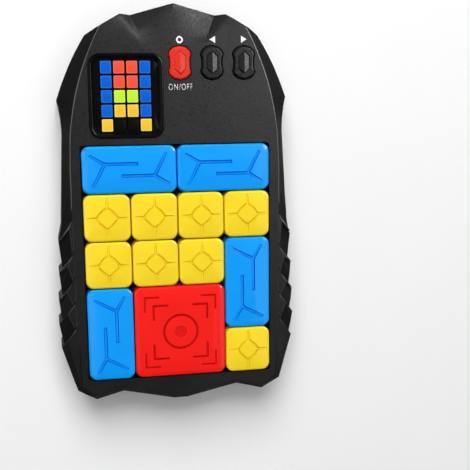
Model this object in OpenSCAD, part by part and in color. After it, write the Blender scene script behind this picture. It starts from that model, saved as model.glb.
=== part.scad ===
// A handheld sliding tile puzzle. Magnetic tiles lie in the tray of a console that has a lit display
// and three buttons. Lengths are in millimetres. The console lies on its back: x runs across the board,
// y towards the display and z out of the face. The origin is on the back, under the console's middle.

/* [Board] */
// Distance from one cell of the board to the next
cell_pitch = 20; // [19:0.25:21.5]
// Gap between neighbouring tiles
tile_gap = 0.4; // [0.3:0.05:0.7]
// Gap between the outer tiles and the wall of the tray
tray_gap = 0.5; // [0.35:0.05:0.9]
// Depth of the tray below the deck
tray_depth = 6; // [5:0.25:7]
// Radius of the corners of the tray
tray_corner = 1.5; // [1:0.25:2.5]
// Thickness of the floor of the tray
floor_thickness = 1.4; // [1:0.1:2]
// Thickness of the steel plate that the magnets hold on to
keeper_thickness = 0.5; // [0.4:0.1:0.8]
// Radius of the hole in the steel plate around each sensor
keeper_hole = 3.5; // [3:0.25:4.5]

/* [Tiles] */
// Height of a tile at the middle of its top
tile_height = 8; // [7:0.25:9]
// Radius of the upright corners of a tile
tile_corner = 3.2; // [2.5:0.1:4]
// Fall of the tile's top from its middle to its edges
tile_crown = 0.6; // [0.3:0.1:0.9]
// Thickness of the tile's side walls
tile_wall = 1.4; // [1:0.1:2]
// Thickness of the tile's top
tile_top = 2.2; // [1.8:0.1:3]
// Width of the lines cut into the tiles
groove_width = 0.9; // [0.6:0.1:1.2]
// Depth of these lines below the middle of the top
groove_depth = 0.85; // [0.75:0.05:1.1]
// Thickness of the plate that closes a tile
base_thickness = 1.2; // [0.8:0.1:1.6]
// Radius of the magnet under each cell
magnet_radius = 4; // [3:0.25:5]
// Height of this magnet
magnet_height = 2; // [1:0.25:3]

/* [Console] */
// Length from the tray to the peak at the top
header_length = 56.7; // [56:0.25:62]
// Length from the tray to the bottom edge
chin_length = 10.7; // [10:0.25:14]
// Width of the flat deck beside the tray
deck_margin = 4.2; // [4:0.1:5.5]
// Reach of the shoulders beyond the tray
shoulder_reach = 8.4; // [7.8:0.1:10]
// Reach of the waist beyond the tray
waist_reach = 6.8; // [6.4:0.1:8]
// Reach of the grips beyond the tray
grip_reach = 9; // [8.6:0.1:10.5]
// Fall of the sides from the deck to their widest line
side_fall = 4.6; // [3.5:0.1:5.5]
// Wall thickness of the housings
shell_wall = 2; // [1.6:0.1:2.4]
// Height of the seam between the housings
seam_height = 10; // [9:0.25:11]
// Bevel around the back
back_bevel = 2.5; // [1.5:0.25:3.5]
// Height of the tongue that lines up the housings
lip_height = 1.5; // [1:0.1:2.5]
// Radius of the screw shanks
screw_radius = 1; // [0.8:0.05:1.2]
// Length of the screw shanks
screw_length = 8; // [7:0.25:8.5]

/* [Display] */
// Width of the display frame
display_width = 30.6; // [29.5:0.1:31.5]
// Length of the display frame
display_length = 34; // [33.75:0.25:36]
// Corner radius of the display frame
display_corner = 4.5; // [3:0.25:6]
// Distance from the middle of the console to the middle of the display
display_side = 20.3; // [19.5:0.1:21]
// Distance from the tray to the display frame
display_gap = 2.7; // [2.5:0.1:4]
// Height of the frame above the deck
bezel_rise = 0.5; // [0.2:0.1:1]
// Width of the frame's rim
bezel_rim = 1.1; // [0.6:0.1:1.4]
// Width of one lit square
pixel_width = 4.95; // [4.5:0.05:5]
// Length of one lit square
pixel_length = 5.4; // [4.8:0.05:5.45]
// Distance between lit squares across the display
pixel_pitch_x = 5.37; // [5.3:0.01:5.6]
// Distance between lit squares along the display
pixel_pitch_y = 5.85; // [5.75:0.01:5.95]

/* [Buttons] */
// Width of a button
button_width = 9.2; // [8:0.1:9.6]
// Length of a button
button_length = 13.5; // [12.5:0.25:14]
// Distance between the buttons
button_spacing = 13.55; // [13:0.05:13.8]
// Place of the first button across the console
button_start = 2.2; // [2:0.1:2.6]
// Distance from the peak at the top to the middle of the buttons
button_row = 23.8; // [23.6:0.1:24.6]
// Height of the buttons above the deck
button_rise = 1; // [0.6:0.1:1.6]
// Travel of a button
button_travel = 1.2; // [0.6:0.1:1.4]
// Gap between a button and the deck
button_gap = 0.35; // [0.25:0.05:0.5]

/* [Power] */
// Radius of a battery
battery_radius = 5.15; // [5:0.05:5.3]
// Length of a battery without its contact stud
battery_length = 43.3; // [42:0.1:44]
// Free space around the batteries
battery_space = 0.45; // [0.3:0.05:0.8]
// Thickness of the battery door
door_thickness = 1.8; // [1.4:0.1:2]
// Radius of the spring wire
spring_wire = 0.35; // [0.25:0.05:0.45]
// Radius of the speaker
speaker_radius = 10; // [8:0.5:12]

/* [Hidden] */
$fn = 48;

// Colours
shell_black = [0.13, 0.13, 0.14];
gloss_black = [0.03, 0.03, 0.035];
tile_yellow = [0.96, 0.80, 0.14];
tile_blue = [0.06, 0.50, 0.92];
tile_red = [0.88, 0.12, 0.11];
board_green = [0.05, 0.30, 0.16];
steel_grey = [0.62, 0.63, 0.65];

// Board and tray
columns = 4;
rows = 5;
tray_half_w = (columns * cell_pitch - tile_gap) / 2 + tray_gap;
tray_half_l = (rows * cell_pitch - tile_gap) / 2 + tray_gap;
tray_wall = 1.8;

// How far cutters run past a face, how far joined shapes overlap, and the gap around fitted pieces
cut = 1;
join = 0.5;
fit = 0.2;

// Heights, built up from the back
door_space = 0.3;
battery_z = door_thickness + battery_space + battery_radius;
roof_z = battery_z + battery_radius + battery_space;
roof_thickness = 1;
board_space = 0.4;
board_thickness = 1.2;
board_z = roof_z + roof_thickness + board_space;
board_top = board_z + board_thickness;
sensor_space = 1;
floor_z = board_top + sensor_space;
tray_z = floor_z + floor_thickness;
deck_z = tray_z + tray_depth;
ceiling_z = deck_z - shell_wall;
floor_mid = shell_wall / 2;
over = deck_z + 6;

// Outline of the console, measured from the middle of the tray
apex_y = tray_half_l + header_length;
chin_y = -tray_half_l - chin_length;
board_y = -(apex_y + chin_y) / 2;
valley = [17.6, apex_y - 4.5];
bump = [22, apex_y - 4.2];
corner = [tray_half_w - 3.9, apex_y - 12.3];
shoulder = [tray_half_w + shoulder_reach, apex_y - 37.8];
waist = [tray_half_w + waist_reach, apex_y - 52.5];
shoulder_bulge = 0.9;
waist_hollow = -0.5;
foot_corner = [tray_half_w + 4.8, chin_y + 6.1];
foot = [tray_half_w - 3.3, chin_y + 1.7];
notch = [25.2, chin_y + 4.8];
keel = [3, chin_y];

// Grips: five overlapping scales on each side, from the waist down
grip_root = [for (p = [[4.2, 19.5], [4.4, 5], [4.4, -5.8], [4.5, -16.3], [4.5, -27]])
  [tray_half_w + deck_margin - 4.2 + p[0], p[1]]];
grip_fold = [for (p = [[-3.5, 16], [-2.4, -0.5], [-1.5, -11.5], [-1.4, -20.2], [-0.9, -31.7]])
  [tray_half_w + grip_reach + p[0], p[1]]];
grip_tip = [for (p = [[1.25, 10.3], [1.6, -2.6], [2.15, -14.5], [2.5, -25], [1.85, -35.6]])
  [tray_half_w + grip_reach + p[0], p[1]]];
grip_valley = [for (p = [[-0.25, 17.1], [0.1, -0.9], [0.6, -12.6], [1.1, -23.2], [0.9, -34]])
  [tray_half_w + grip_reach + p[0], p[1]]];
fold_fall = 0.3;
tip_fall = 3.7;
scale_overlap = 0.25;
root_step = 0.1;
tip_step = 1.2;
scale_hinge = 0.05;
foot_root = [tray_half_w + 2.9, chin_y + 8.5];
foot_fall = 2.2;
chin_bevel = 2.1;

// Deck edge: straight beside the tray, then an arc in towards the peak
deck_arc = 113.7;
deck_turn = tray_half_l - 7.3;
deck_start = apex_y - 8.8;
flank_ramp = 3;
fade = 0.3;

// Top facets: a ridge to the peak and a fold on either side of it. The deck sinks gently towards the folds.
facet_root = apex_y - 16.5;
fold_root = [12.3, facet_root];
bump_root = bump - [3, 7];
rest_width = 5.5;
rest_root = [2.5, 5];
rest_lift = 0.1;
ridge_fall = 0.5;
valley_fall = 2.4;
fall_power = 1.5;
sink_power = 2;
sink_steps = 6;
facet_steps = 5;

// Screws
boss_x = tray_half_w - 1.8;
boss_radius = 2.6;
boss_hole = 5;
boss_places = [for (s = [-1, 1], p = [[boss_x, -37], [boss_x, 20], [24, apex_y - 12.5]])
  [s * p[0], p[1]]];
rear_boss_radius = 3.4;
post_places = [[0, tray_half_l + 7.7], [boss_x - 5.5, tray_half_l + 11.7]];
post_radius = 2.4;
head_radius = 2;
head_height = 1.6;
head_recess = 5;
thread_gap = 0.05;
shank_gap = 0.3;
hole_room = 0.4;
slot_length = 2.6;
slot_width = 0.6;

// Display
display_x = -display_side;
display_y = tray_half_l + display_gap + display_length / 2;
pocket_depth = 1;
panel_drop = 0.8;
panel_margin = 1.2;
panel_w = 3 * pixel_pitch_x + pixel_width + 2 * panel_margin;
panel_l = 4 * pixel_pitch_y + pixel_length + 2 * panel_margin;
panel_z = ceiling_z - 0.6;
bezel_slope = 0.9;
tall = 40;
pixel_gap = 0.06;
pixel_proud = 0.3;
well_inset = 0.3;
led_size = 2.8;
led_height = 0.8;

// Buttons
button_y = apex_y - button_row;
lip_reach = 0.7;
lip_thickness = 1.3;
lip_space = 0.1;
lip_room = 0.3;
button_bevel = 0.5;
stem_radius = 2.4;
keypad_sheet = 0.8;
dome_crushed = 1;
dome_height = keypad_sheet + dome_crushed + button_travel;

// Battery bay and door
battery_pitch = 2 * battery_radius + 0.7;
bay_y = 3;
bay_half_w = battery_pitch + battery_radius + 0.85;
contact_thickness = 0.4;
stud_length = 1.2;
stud_radius = 1.9;
spring_room = 6.3;
bay_half_l = (battery_length + stud_length + spring_room + 2 * contact_thickness) / 2;
bay_wall = 1.2;
tail_slot = 1.2;
lug_half = 4.5;
lug_length = 7;
lug_y = -bay_half_l - lug_length / 2;
tab_x = 5.4;
tab_width = 3.6;
tab_reach = 2.2;
door_screw_radius = 1.1;
door_screw_length = 6;
door_screw_room = 1.75;
door_step = 0.6;
contact_size = 7;
spring_radius = 3;
spring_turns = 4;
speaker_y = tray_half_l + 21.7;
speaker_height = 4.5;
grille_hole = 0.9;

// Two-dimensional helpers
function unit(v) = v / norm(v);
function sum_area(p) = [for (i = [0:len(p) - 1]) let (q = p[(i + 1) % len(p)])
  p[i][0] * q[1] - q[0] * p[i][1]] * [for (i = p) 1];
function inset(p, d) = let (n = len(p), s = sign(sum_area(p))) [for (i = [0:n - 1])
  let (u = unit(p[i] - p[(i + n - 1) % n]), v = unit(p[(i + 1) % n] - p[i]),
    a = s * [-u[1], u[0]], b = s * [-v[1], v[0]])
  p[i] + (a + b) * d / (1 + a * b)];
function bow(p, q, sag, n) = [for (i = [0:n]) let (t = i / n, d = q - p)
  p + d * t + unit([-d[1], d[0]]) * 4 * sag * t * (1 - t)];
function mirrored(p) = concat(p, [for (i = [len(p) - 1:-1:0]) if (p[i][0] > 0) [-p[i][0], p[i][1]]]);
function deck_x(y) = tray_half_w + deck_margin - deck_arc
  + sqrt(pow(deck_arc, 2) - pow(max(0, y - deck_turn), 2));

// Right side of the outline down to the grips
flank = concat(bow(corner, shoulder, shoulder_bulge, 8),
  [for (i = [1:6]) bow(shoulder, waist, waist_hollow, 6)[i]],
  [for (i = [1:3]) waist + (grip_valley[0] - waist) * i / 3]);
crown = [[0, apex_y], valley, bump];
base = [foot_corner, foot, notch, keel];
outline = mirrored(concat(crown, flank, [grip_tip[0]],
  [for (i = [1:4]) each [grip_valley[i], grip_tip[i]]], base));
inner_outline = mirrored(concat(crown, flank, [for (i = [1:4]) grip_valley[i]], base));

module at_board() {
  translate([0, board_y, 0]) children();
}

module rounded(w, l, r) {
  square([w - 2 * r, l], center = true);
  square([w, l - 2 * r], center = true);
  for (x = [-1, 1], y = [-1, 1])
    translate([x * (w / 2 - r), y * (l / 2 - r)]) circle(r = r);
}

// A solid between two outlines of the same number of points, both seen whole from the point c
module frustum(lower, upper, z0, z1, c) {
  n = len(lower);
  polyhedron(
    points = concat([for (p = lower) [p[0], p[1], z0]], [for (p = upper) [p[0], p[1], z1]],
      [[c[0], c[1], z0], [c[0], c[1], z1]]),
    faces = [for (i = [0:n - 1]) let (j = (i + 1) % n)
      each [[j, i, 2 * n], [i, j, j + n], [i, j + n, i + n], [i + n, j + n, 2 * n + 1]]]);
}

module ring(outer, inner, height) {
  difference() {
    cylinder(r = outer, h = height);
    translate([0, 0, -cut]) cylinder(r = inner, h = height + 2 * cut);
  }
}

// A cutter above a band of facets. Each section runs outwards over points of the new surface, and back
// above them.
function raised(p, z) = [p[0], p[1], z];
function section(line) = let (reach = 0.5, back = 0.3, last = len(line) - 1,
    ends = concat([line[0] - (line[1] - line[0]) * back], [for (i = [1:1:last - 1]) line[i]],
      [line[last] + (line[last] - line[last - 1]) * reach]))
  concat(ends, [for (i = [last:-1:0]) raised(ends[i], over)]);
function straight(a, q, za, zq, part = 0.3) =
  section([raised(a, za), raised(a + (q - a) * part, za + (zq - za) * part), raised(q, zq)]);
function eased(a, q, fall) = section([for (i = [0:facet_steps]) let (t = i / facet_steps)
  raised(a + (q - a) * t, deck_z - fall * pow(t, fall_power))]);

module facets(sections) {
  n = len(sections[0]);
  last = n * (len(sections) - 1);
  polyhedron(
    points = [for (s = sections) each s],
    faces = concat(
      [for (i = [0:n / 2 - 2]) each [[i, i + 1, n - 2 - i, n - 1 - i],
        [last + n - 1 - i, last + n - 2 - i, last + i + 1, last + i]]],
      [for (i = [0:len(sections) - 2], j = [0:n - 1])
        let (p = n * i + j, q = n * i + (j + 1) % n) each [[p, q + n, q], [p, p + n, q + n]]]));
}

// Slope from the deck edge out to the flank, from the peak down to the first scale
function flank_fall(q) = side_fall * min(1, (q[0] - deck_x(q[1])) / flank_ramp);
flank_top = [deck_x(deck_start), deck_start];
flank_sections = concat(
  [straight(flank_top, flank_top + [flank_ramp, 0], deck_z + fade, deck_z + fade)],
  [for (i = [0:len(flank) - 2]) let (q = flank[i])
    straight([deck_x(q[1]), q[1]], q, deck_z, deck_z - flank_fall(q))],
  [straight(grip_root[0], grip_tip[0], deck_z - root_step, deck_z - tip_fall - tip_step)]);

function scale_start(i) = let (up = [0, scale_overlap])
  section([raised(grip_root[i] + up, deck_z), raised(grip_fold[i] + up, deck_z - fold_fall),
    raised(grip_tip[i] + up, deck_z - tip_fall)]);
function scale_end(i) = i < 4
  ? straight(grip_root[i + 1], grip_tip[i + 1], deck_z - root_step, deck_z - tip_fall - tip_step,
      scale_hinge)
  : straight(foot_root, foot_corner, deck_z, deck_z - foot_fall);

function chin_section(p, side) = let (q = [side * p[0], p[1]])
  straight(p == foot_corner ? [side * foot_root[0], foot_root[1]] : q + [0, chin_bevel], q,
    deck_z, deck_z - foot_fall);
chin_sections = [for (p = base) chin_section(p, 1), for (i = [3:-1:0]) chin_section(base[i], -1)];

// Stations of the top from the level deck over the bump into the fold: root, rim and share of the fall
rest = bump + unit(corner - bump) * rest_width;
stations = [[rest - rest_root, rest, 0], [bump_root, bump, 0.5], [fold_root, valley, 1]];
function station(t) = let (i = t < 0.5 ? 0 : 1) stations[i] + (stations[i + 1] - stations[i]) * (2 * t - i);
function sink_section(t) = let (s = station(t)) eased(s[0], s[1], valley_fall * pow(s[2], sink_power));
level_section = [for (p = sink_section(0)) raised(p, max(p[2], deck_z + rest_lift))];
ridge_section = eased([0, facet_root], [0, apex_y], ridge_fall);
top_half = concat([level_section], [for (i = [1:sink_steps]) sink_section(i / sink_steps)],
  [(sink_section(1) + ridge_section) / 2]);
top_sections = concat([for (s = top_half) [for (p = s) [-p[0], p[1], p[2]]]], [ridge_section],
  [for (i = [len(top_half) - 1:-1:0]) top_half[i]]);

module deck_cuts() {
  for (side = [0, 1]) mirror([side, 0, 0]) {
    facets(flank_sections);
    for (i = [0:4]) facets([scale_start(i), scale_end(i)]);
  }
  facets(chin_sections);
  facets(top_sections);
}

// Room under the deck, above the tray
edge_wall = 0.6;
room_low = tray_half_l + tray_wall;
room_space = 1.35;
room_top = max(button_y + button_length / 2 + lip_reach, display_y + panel_l / 2) + room_space;
room_corner = [2, 1.5];
room = mirrored(concat(
  [for (i = [0:6]) let (y = room_low + (room_top - room_corner[1] - room_low) * i / 6)
    [deck_x(y) - edge_wall, y]],
  [[deck_x(room_top) - edge_wall - room_corner[0], room_top]]));

// Buttons, seen from above
function shield(w, l) = let (a = w / 2, b = l / 2, top = [[0.54 * a, b - 0.55], [0.91 * a, b - 2.05],
    [a, b - 3.35], [a - 0.5, b - 4.9]])
  concat([[0, b]], top, [for (i = [3:-1:0]) [top[i][0], -top[i][1]]], [[0, -b]],
    [for (p = top) [-p[0], -p[1]]], [for (i = [3:-1:0]) [-top[i][0], top[i][1]]]);

function button_place(i) = [button_start + i * button_spacing, button_y, 0];
function pixel_place(i, j) =
  [display_x + (i - 1.5) * pixel_pitch_x, display_y + (2 - j) * pixel_pitch_y, 0];
function cell_place(i, j) = [(i - (columns - 1) / 2) * cell_pitch, ((rows - 1) / 2 - j) * cell_pitch, 0];

module front_housing() {
  color(shell_black) at_board() difference() {
    union() {
      difference() {
        translate([0, 0, seam_height]) linear_extrude(deck_z - seam_height) polygon(outline);
        deck_cuts();
        translate([0, 0, seam_height - cut]) linear_extrude(floor_z - seam_height + cut)
          polygon(inset(inner_outline, shell_wall));
        translate([0, 0, floor_z - cut]) linear_extrude(ceiling_z - floor_z + cut) polygon(room);
      }
      for (p = boss_places)
        translate([p[0], p[1], seam_height]) cylinder(r = boss_radius, h = floor_z - seam_height + join);
      for (p = post_places)
        translate([p[0], p[1], board_top]) cylinder(r = post_radius, h = ceiling_z - board_top + join);
    }
    translate([0, 0, tray_z]) linear_extrude(over) rounded(2 * tray_half_w, 2 * tray_half_l, tray_corner);
    translate([display_x, display_y, deck_z - pocket_depth]) linear_extrude(over)
      rounded(display_width + 2 * fit, display_length + 2 * fit, display_corner + fit);
    translate([display_x, display_y, ceiling_z - cut]) linear_extrude(over)
      square([panel_w + 2 * fit, panel_l + 2 * fit], center = true);
    for (i = [0:2]) translate(button_place(i)) {
      translate([0, 0, ceiling_z - cut]) linear_extrude(over)
        polygon(inset(shield(button_width, button_length), -button_gap));
      translate([0, 0, floor_z]) linear_extrude(ceiling_z - floor_z)
        polygon(inset(shield(button_width, button_length), -lip_reach - lip_room));
    }
    for (p = boss_places)
      translate([p[0], p[1], seam_height - cut])
        cylinder(r = screw_radius + thread_gap, h = boss_hole + cut);
    for (p = post_places)
      translate([p[0], p[1], board_top - cut])
        cylinder(r = screw_radius + thread_gap, h = screw_length - board_thickness + hole_room + cut);
  }
}

module back_solid() {
  middle = [0, -board_y];
  half = [max([for (p = outline) p[0]]), (apex_y - chin_y) / 2];
  shrink = [1 - back_bevel / half[0], 1 - back_bevel / half[1]];
  small = [for (p = outline) [p[0] * shrink[0], middle[1] + (p[1] - middle[1]) * shrink[1]]];
  frustum(small, outline, 0, back_bevel, middle);
  translate([0, 0, back_bevel]) linear_extrude(seam_height - back_bevel) polygon(outline);
}

module rear_housing() {
  lip_gap = 0.15;
  lip_wall = 1;
  lip_root = 2;
  floor_room = back_bevel + shell_wall;
  bay_top = roof_z + roof_thickness;
  lug_wall = 2;
  lug_block = 8;
  ring_wall = 1.2;
  ring_height = 4;
  tip_room = 2.8;
  window = [tab_width + 1, bay_wall + 0.4, 4.2];
  color(shell_black) at_board() difference() {
    union() {
      difference() {
        back_solid();
        translate([0, 0, shell_wall]) linear_extrude(seam_height)
          polygon(inset(inner_outline, shell_wall + back_bevel));
        translate([0, 0, floor_room]) linear_extrude(seam_height) polygon(inset(inner_outline, shell_wall));
      }
      translate([0, 0, seam_height - lip_root]) linear_extrude(lip_root) difference() {
        polygon(inset(inner_outline, shell_wall - join));
        polygon(inset(inner_outline, shell_wall + lip_gap + lip_wall));
      }
      translate([0, 0, seam_height - join]) linear_extrude(join + lip_height) difference() {
        polygon(inset(inner_outline, shell_wall + lip_gap));
        polygon(inset(inner_outline, shell_wall + lip_gap + lip_wall));
      }
      for (p = boss_places)
        translate([p[0], p[1], floor_mid]) cylinder(r = rear_boss_radius, h = seam_height - floor_mid);
      translate([-bay_half_w - bay_wall, bay_y - bay_half_l - bay_wall, floor_mid])
        cube([2 * (bay_half_w + bay_wall), 2 * (bay_half_l + bay_wall), bay_top - floor_mid]);
      translate([-lug_half - lug_wall, bay_y - bay_half_l - lug_length - lug_wall - join, floor_mid])
        cube([2 * (lug_half + lug_wall), lug_length + lug_wall + 2 * join, lug_block]);
      translate([0, speaker_y, floor_mid])
        ring(speaker_radius + shank_gap + ring_wall, speaker_radius + shank_gap, ring_height);
    }
    translate([-bay_half_w, bay_y - bay_half_l, -cut]) cube([2 * bay_half_w, 2 * bay_half_l, roof_z + cut]);
    for (s = [-1, 1]) translate([0, bay_y + s * (bay_half_l - tail_slot / 2), roof_z])
      cube([2 * (battery_pitch + contact_size / 2), tail_slot, 4 * roof_thickness], center = true);
    translate([-lug_half - door_space, bay_y - bay_half_l - lug_length - door_space, -cut])
      cube([2 * (lug_half + door_space), lug_length + cut, door_thickness + lip_gap + cut]);
    translate([0, bay_y + lug_y, 0])
      cylinder(r = door_screw_room, h = door_screw_length + tip_room - door_step);
    for (s = [-1, 1])
      translate([s * tab_x, bay_y + bay_half_l + bay_wall / 2, shell_wall + window[2] / 2])
        cube(window, center = true);
    for (p = boss_places) translate([p[0], p[1], -cut]) {
      cylinder(r = head_radius + shank_gap, h = head_recess + cut);
      cylinder(r = screw_radius + shank_gap, h = seam_height + 2 * cut);
    }
    translate([0, speaker_y, -cut]) {
      cylinder(r = grille_hole, h = shell_wall + 2 * cut);
      for (a = [0:60:300]) rotate(a)
        translate([0.45 * speaker_radius, 0, 0]) cylinder(r = grille_hole, h = shell_wall + 2 * cut);
      for (a = [15:30:345]) rotate(a)
        translate([0.76 * speaker_radius, 0, 0]) cylinder(r = grille_hole, h = shell_wall + 2 * cut);
    }
  }
}

module battery_door() {
  tab_root = 1.5;
  tab_thickness = 1;
  hook_gap = 0.2;
  screw_gap = 0.15;
  line = [12, 0.7, 0.4];
  line_step = 1.6;
  line_start = 3;
  color(shell_black) at_board() translate([0, bay_y, 0]) difference() {
    union() {
      translate([door_space - bay_half_w, door_space - bay_half_l, 0])
        cube([2 * (bay_half_w - door_space), 2 * (bay_half_l - door_space), door_thickness]);
      translate([-lug_half, -bay_half_l - lug_length, 0])
        cube([2 * lug_half, lug_length + door_space + join, door_thickness]);
      for (s = [-1, 1]) translate([s * tab_x - tab_width / 2, bay_half_l - tab_root, 0]) {
        cube([tab_width, tab_root - door_space, shell_wall + hook_gap + tab_thickness]);
        translate([0, 0, shell_wall + hook_gap]) cube([tab_width, tab_root + tab_reach, tab_thickness]);
      }
    }
    translate([0, lug_y, -cut]) {
      cylinder(r = head_radius + screw_gap, h = door_thickness - door_step + thread_gap + cut);
      cylinder(r = door_screw_radius + screw_gap, h = door_thickness + 2 * cut);
    }
    for (i = [0:4]) translate([-line[0] / 2, line_start + line_step * i - bay_half_l, -cut])
      cube([line[0], line[1], line[2] + cut]);
  }
}

module cross_slot(depth) {
  for (a = [0, 90]) rotate(a)
    translate([-slot_length / 2, -slot_width / 2, -cut]) cube([slot_length, slot_width, depth + cut]);
}

module door_screw() {
  sunk = 0.2;
  top = door_thickness - door_step;
  color(steel_grey) at_board() translate([0, bay_y + lug_y, 0]) difference() {
    union() {
      translate([0, 0, sunk]) cylinder(r = head_radius, h = top - sunk);
      translate([0, 0, sunk]) cylinder(r = door_screw_radius, h = top - sunk + door_screw_length);
    }
    translate([0, 0, sunk]) cross_slot(door_step);
  }
}

module case_screw() {
  difference() {
    union() {
      translate([0, 0, -head_height]) cylinder(r = head_radius, h = head_height);
      translate([0, 0, -head_height]) cylinder(r = screw_radius, h = head_height + screw_length);
    }
    translate([0, 0, -head_height]) cross_slot(head_height / 2);
  }
}

module case_screws() {
  color(steel_grey) at_board() {
    for (p = boss_places) translate([p[0], p[1], head_recess]) case_screw();
    for (p = post_places) translate([p[0], p[1], board_z]) case_screw();
  }
}

module button(i) {
  top = deck_z + button_rise;
  lip_z = ceiling_z - lip_space - lip_thickness;
  stem_gap = 0.05;
  stem_z = board_top + dome_height + stem_gap;
  shape = shield(button_width, button_length);
  face = [for (p = shape) [p[0] * 0.88, p[1] * 0.92]];
  sunk = 0.2;
  ridge = 0.9;
  eave = 0.35;
  moat = [0.4, 0.3];
  hexagon = [[0, 4.3], [2.1, 2.5], [2.1, -2.5], [0, -4.3], [-2.1, -2.5], [-2.1, 2.5]];
  at_board() translate(button_place(i)) {
    difference() {
      union() {
        translate([0, 0, lip_z]) linear_extrude(top - button_bevel - lip_z) polygon(shape);
        frustum(shape, face, top - button_bevel, top, [0, 0]);
      }
      translate([0, 0, top - moat[1]]) linear_extrude(cut) difference() {
        polygon(inset(hexagon, -moat[0]));
        polygon(hexagon);
      }
    }
    translate([0, 0, lip_z]) linear_extrude(lip_thickness) polygon(inset(shape, -lip_reach));
    translate([0, 0, stem_z]) cylinder(r = stem_radius, h = lip_z - stem_z + join);
    translate([0, 0, top - sunk]) polyhedron(
      points = concat([for (p = hexagon) [p[0], p[1], 0]],
        [for (p = hexagon) [p[0], p[1], p[0] == 0 ? ridge : eave]]),
      faces = concat([[5, 4, 3, 2, 1, 0], [6, 7, 8, 9], [9, 10, 11, 6]],
        [for (i = [0:5]) let (j = (i + 1) % 6) [i, j, j + 6, i + 6]]));
  }
}

module power_button() {
  color(tile_red) button(0);
}

module previous_button() {
  color(shell_black) button(1);
}

module next_button() {
  color(shell_black) button(2);
}

module rubber_keypad() {
  margin = 5.2;
  length = 14.4;
  foot_radius = 4.4;
  top_radius = 3;
  color([0.55, 0.56, 0.58]) at_board() {
    translate([button_start - margin, button_y - length / 2, board_top])
      cube([2 * button_spacing + 2 * margin, length, keypad_sheet]);
    for (i = [0:2]) translate(button_place(i) + [0, 0, board_top + keypad_sheet / 2])
      cylinder(r1 = foot_radius, r2 = top_radius, h = dome_height - keypad_sheet / 2);
  }
}

module display_bezel() {
  rim = deck_z + bezel_rise;
  face = deck_z - panel_drop;
  inner = bezel_rim + bezel_slope;
  inner_corner = display_corner - inner + 0.6;
  skin = 0.01;
  color(gloss_black) at_board() translate([display_x, display_y, 0]) difference() {
    union() {
      translate([0, 0, deck_z - pocket_depth]) linear_extrude(rim - deck_z + pocket_depth)
        rounded(display_width, display_length, display_corner);
      translate([0, 0, panel_z]) linear_extrude(face - panel_z) square([panel_w, panel_l], center = true);
    }
    hull() {
      translate([0, 0, face]) linear_extrude(skin)
        rounded(display_width - 2 * inner, display_length - 2 * inner, inner_corner, $fn = 32);
      translate([0, 0, rim]) linear_extrude(fit) rounded(display_width - 2 * bezel_rim,
        display_length - 2 * bezel_rim, display_corner - bezel_rim, $fn = 32);
    }
    translate([-display_x, -display_y, 0]) for (i = [0:3], j = [0:4])
      translate(pixel_place(i, j) + [0, 0, deck_z])
        cube([pixel_width + 2 * pixel_gap, pixel_length + 2 * pixel_gap, tall], center = true);
  }
}

module light_grid() {
  color([0.85, 0.85, 0.83]) at_board() difference() {
    translate([display_x - panel_w / 2, display_y - panel_l / 2, board_top])
      cube([panel_w, panel_l, panel_z - board_top]);
    for (i = [0:3], j = [0:4]) translate(pixel_place(i, j) + [0, 0, board_top])
      cube([pixel_width - 2 * well_inset, pixel_length - 2 * well_inset, tall], center = true);
  }
}

// Colour of each lit square, row by row: blue, red, green, yellow or dark
lit_rows = ["brrb", "brrb", "bggb", "byyb", "ykky"];
function lit(c) = c == "b" ? [0.05, 0.38, 0.9] : c == "r" ? [1, 0.35, 0.24] : c == "g" ? [0.75, 0.97, 0.2]
  : c == "y" ? [1, 0.8, 0.2] : [0.03, 0.03, 0.03];

module display_pixels() {
  height = deck_z - panel_drop + pixel_proud - panel_z;
  at_board() for (i = [0:3], j = [0:4]) color(lit(lit_rows[j][i]))
    translate(pixel_place(i, j) + [0, 0, panel_z + height / 2])
      cube([pixel_width, pixel_length, height], center = true);
}

module display_leds() {
  color([0.95, 0.95, 0.9]) at_board() for (i = [0:3], j = [0:4])
    translate(pixel_place(i, j) + [0, 0, board_top + led_height / 2])
      cube([led_size, led_size, led_height], center = true);
}

module main_board() {
  edge_gap = 0.9;
  half = boss_x - boss_radius - edge_gap;
  low = 5.3 - tray_half_l;
  high = button_y + 7.8;
  color(board_green) at_board() difference() {
    translate([-half, low, board_z]) cube([2 * half, high - low, board_thickness]);
    for (p = post_places) translate([p[0], p[1], board_z - cut])
      cylinder(r = screw_radius + shank_gap, h = board_thickness + 2 * cut);
  }
}

module controller_chip() {
  size = 10;
  height = 1.2;
  bay_distance = 9;
  color([0.08, 0.08, 0.08]) at_board()
    translate([-size / 2, bay_y + bay_half_l + bay_distance, board_z - height]) cube([size, size, height]);
}

module hall_sensors() {
  size = 3;
  height = 0.7;
  color([0.1, 0.1, 0.1]) at_board() for (i = [0:columns - 1], j = [0:rows - 1])
    translate(cell_place(i, j) + [0, 0, board_top + height / 2]) cube([size, size, height], center = true);
}

module keeper_plate() {
  edge_gap = 0.4;
  end_gap = 2;
  half = boss_x - boss_radius - edge_gap;
  color(steel_grey) at_board() translate([0, 0, floor_z - keeper_thickness]) difference() {
    linear_extrude(keeper_thickness) square([2 * half, 2 * (tray_half_l - end_gap)], center = true);
    for (i = [0:columns - 1], j = [0:rows - 1]) translate(cell_place(i, j) + [0, 0, -cut])
      cylinder(r = keeper_hole, h = keeper_thickness + 2 * cut);
  }
}

module speaker() {
  color([0.25, 0.25, 0.27]) at_board() translate([0, speaker_y, shell_wall]) {
    cylinder(r = speaker_radius, h = speaker_height / 2);
    cylinder(r = 0.6 * speaker_radius, h = speaker_height);
  }
}

// The outer batteries have their studs towards the display, and the middle one the other way
function battery_way(i) = i == 1 ? -1 : 1;
stud_end = bay_half_l - contact_thickness;

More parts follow.
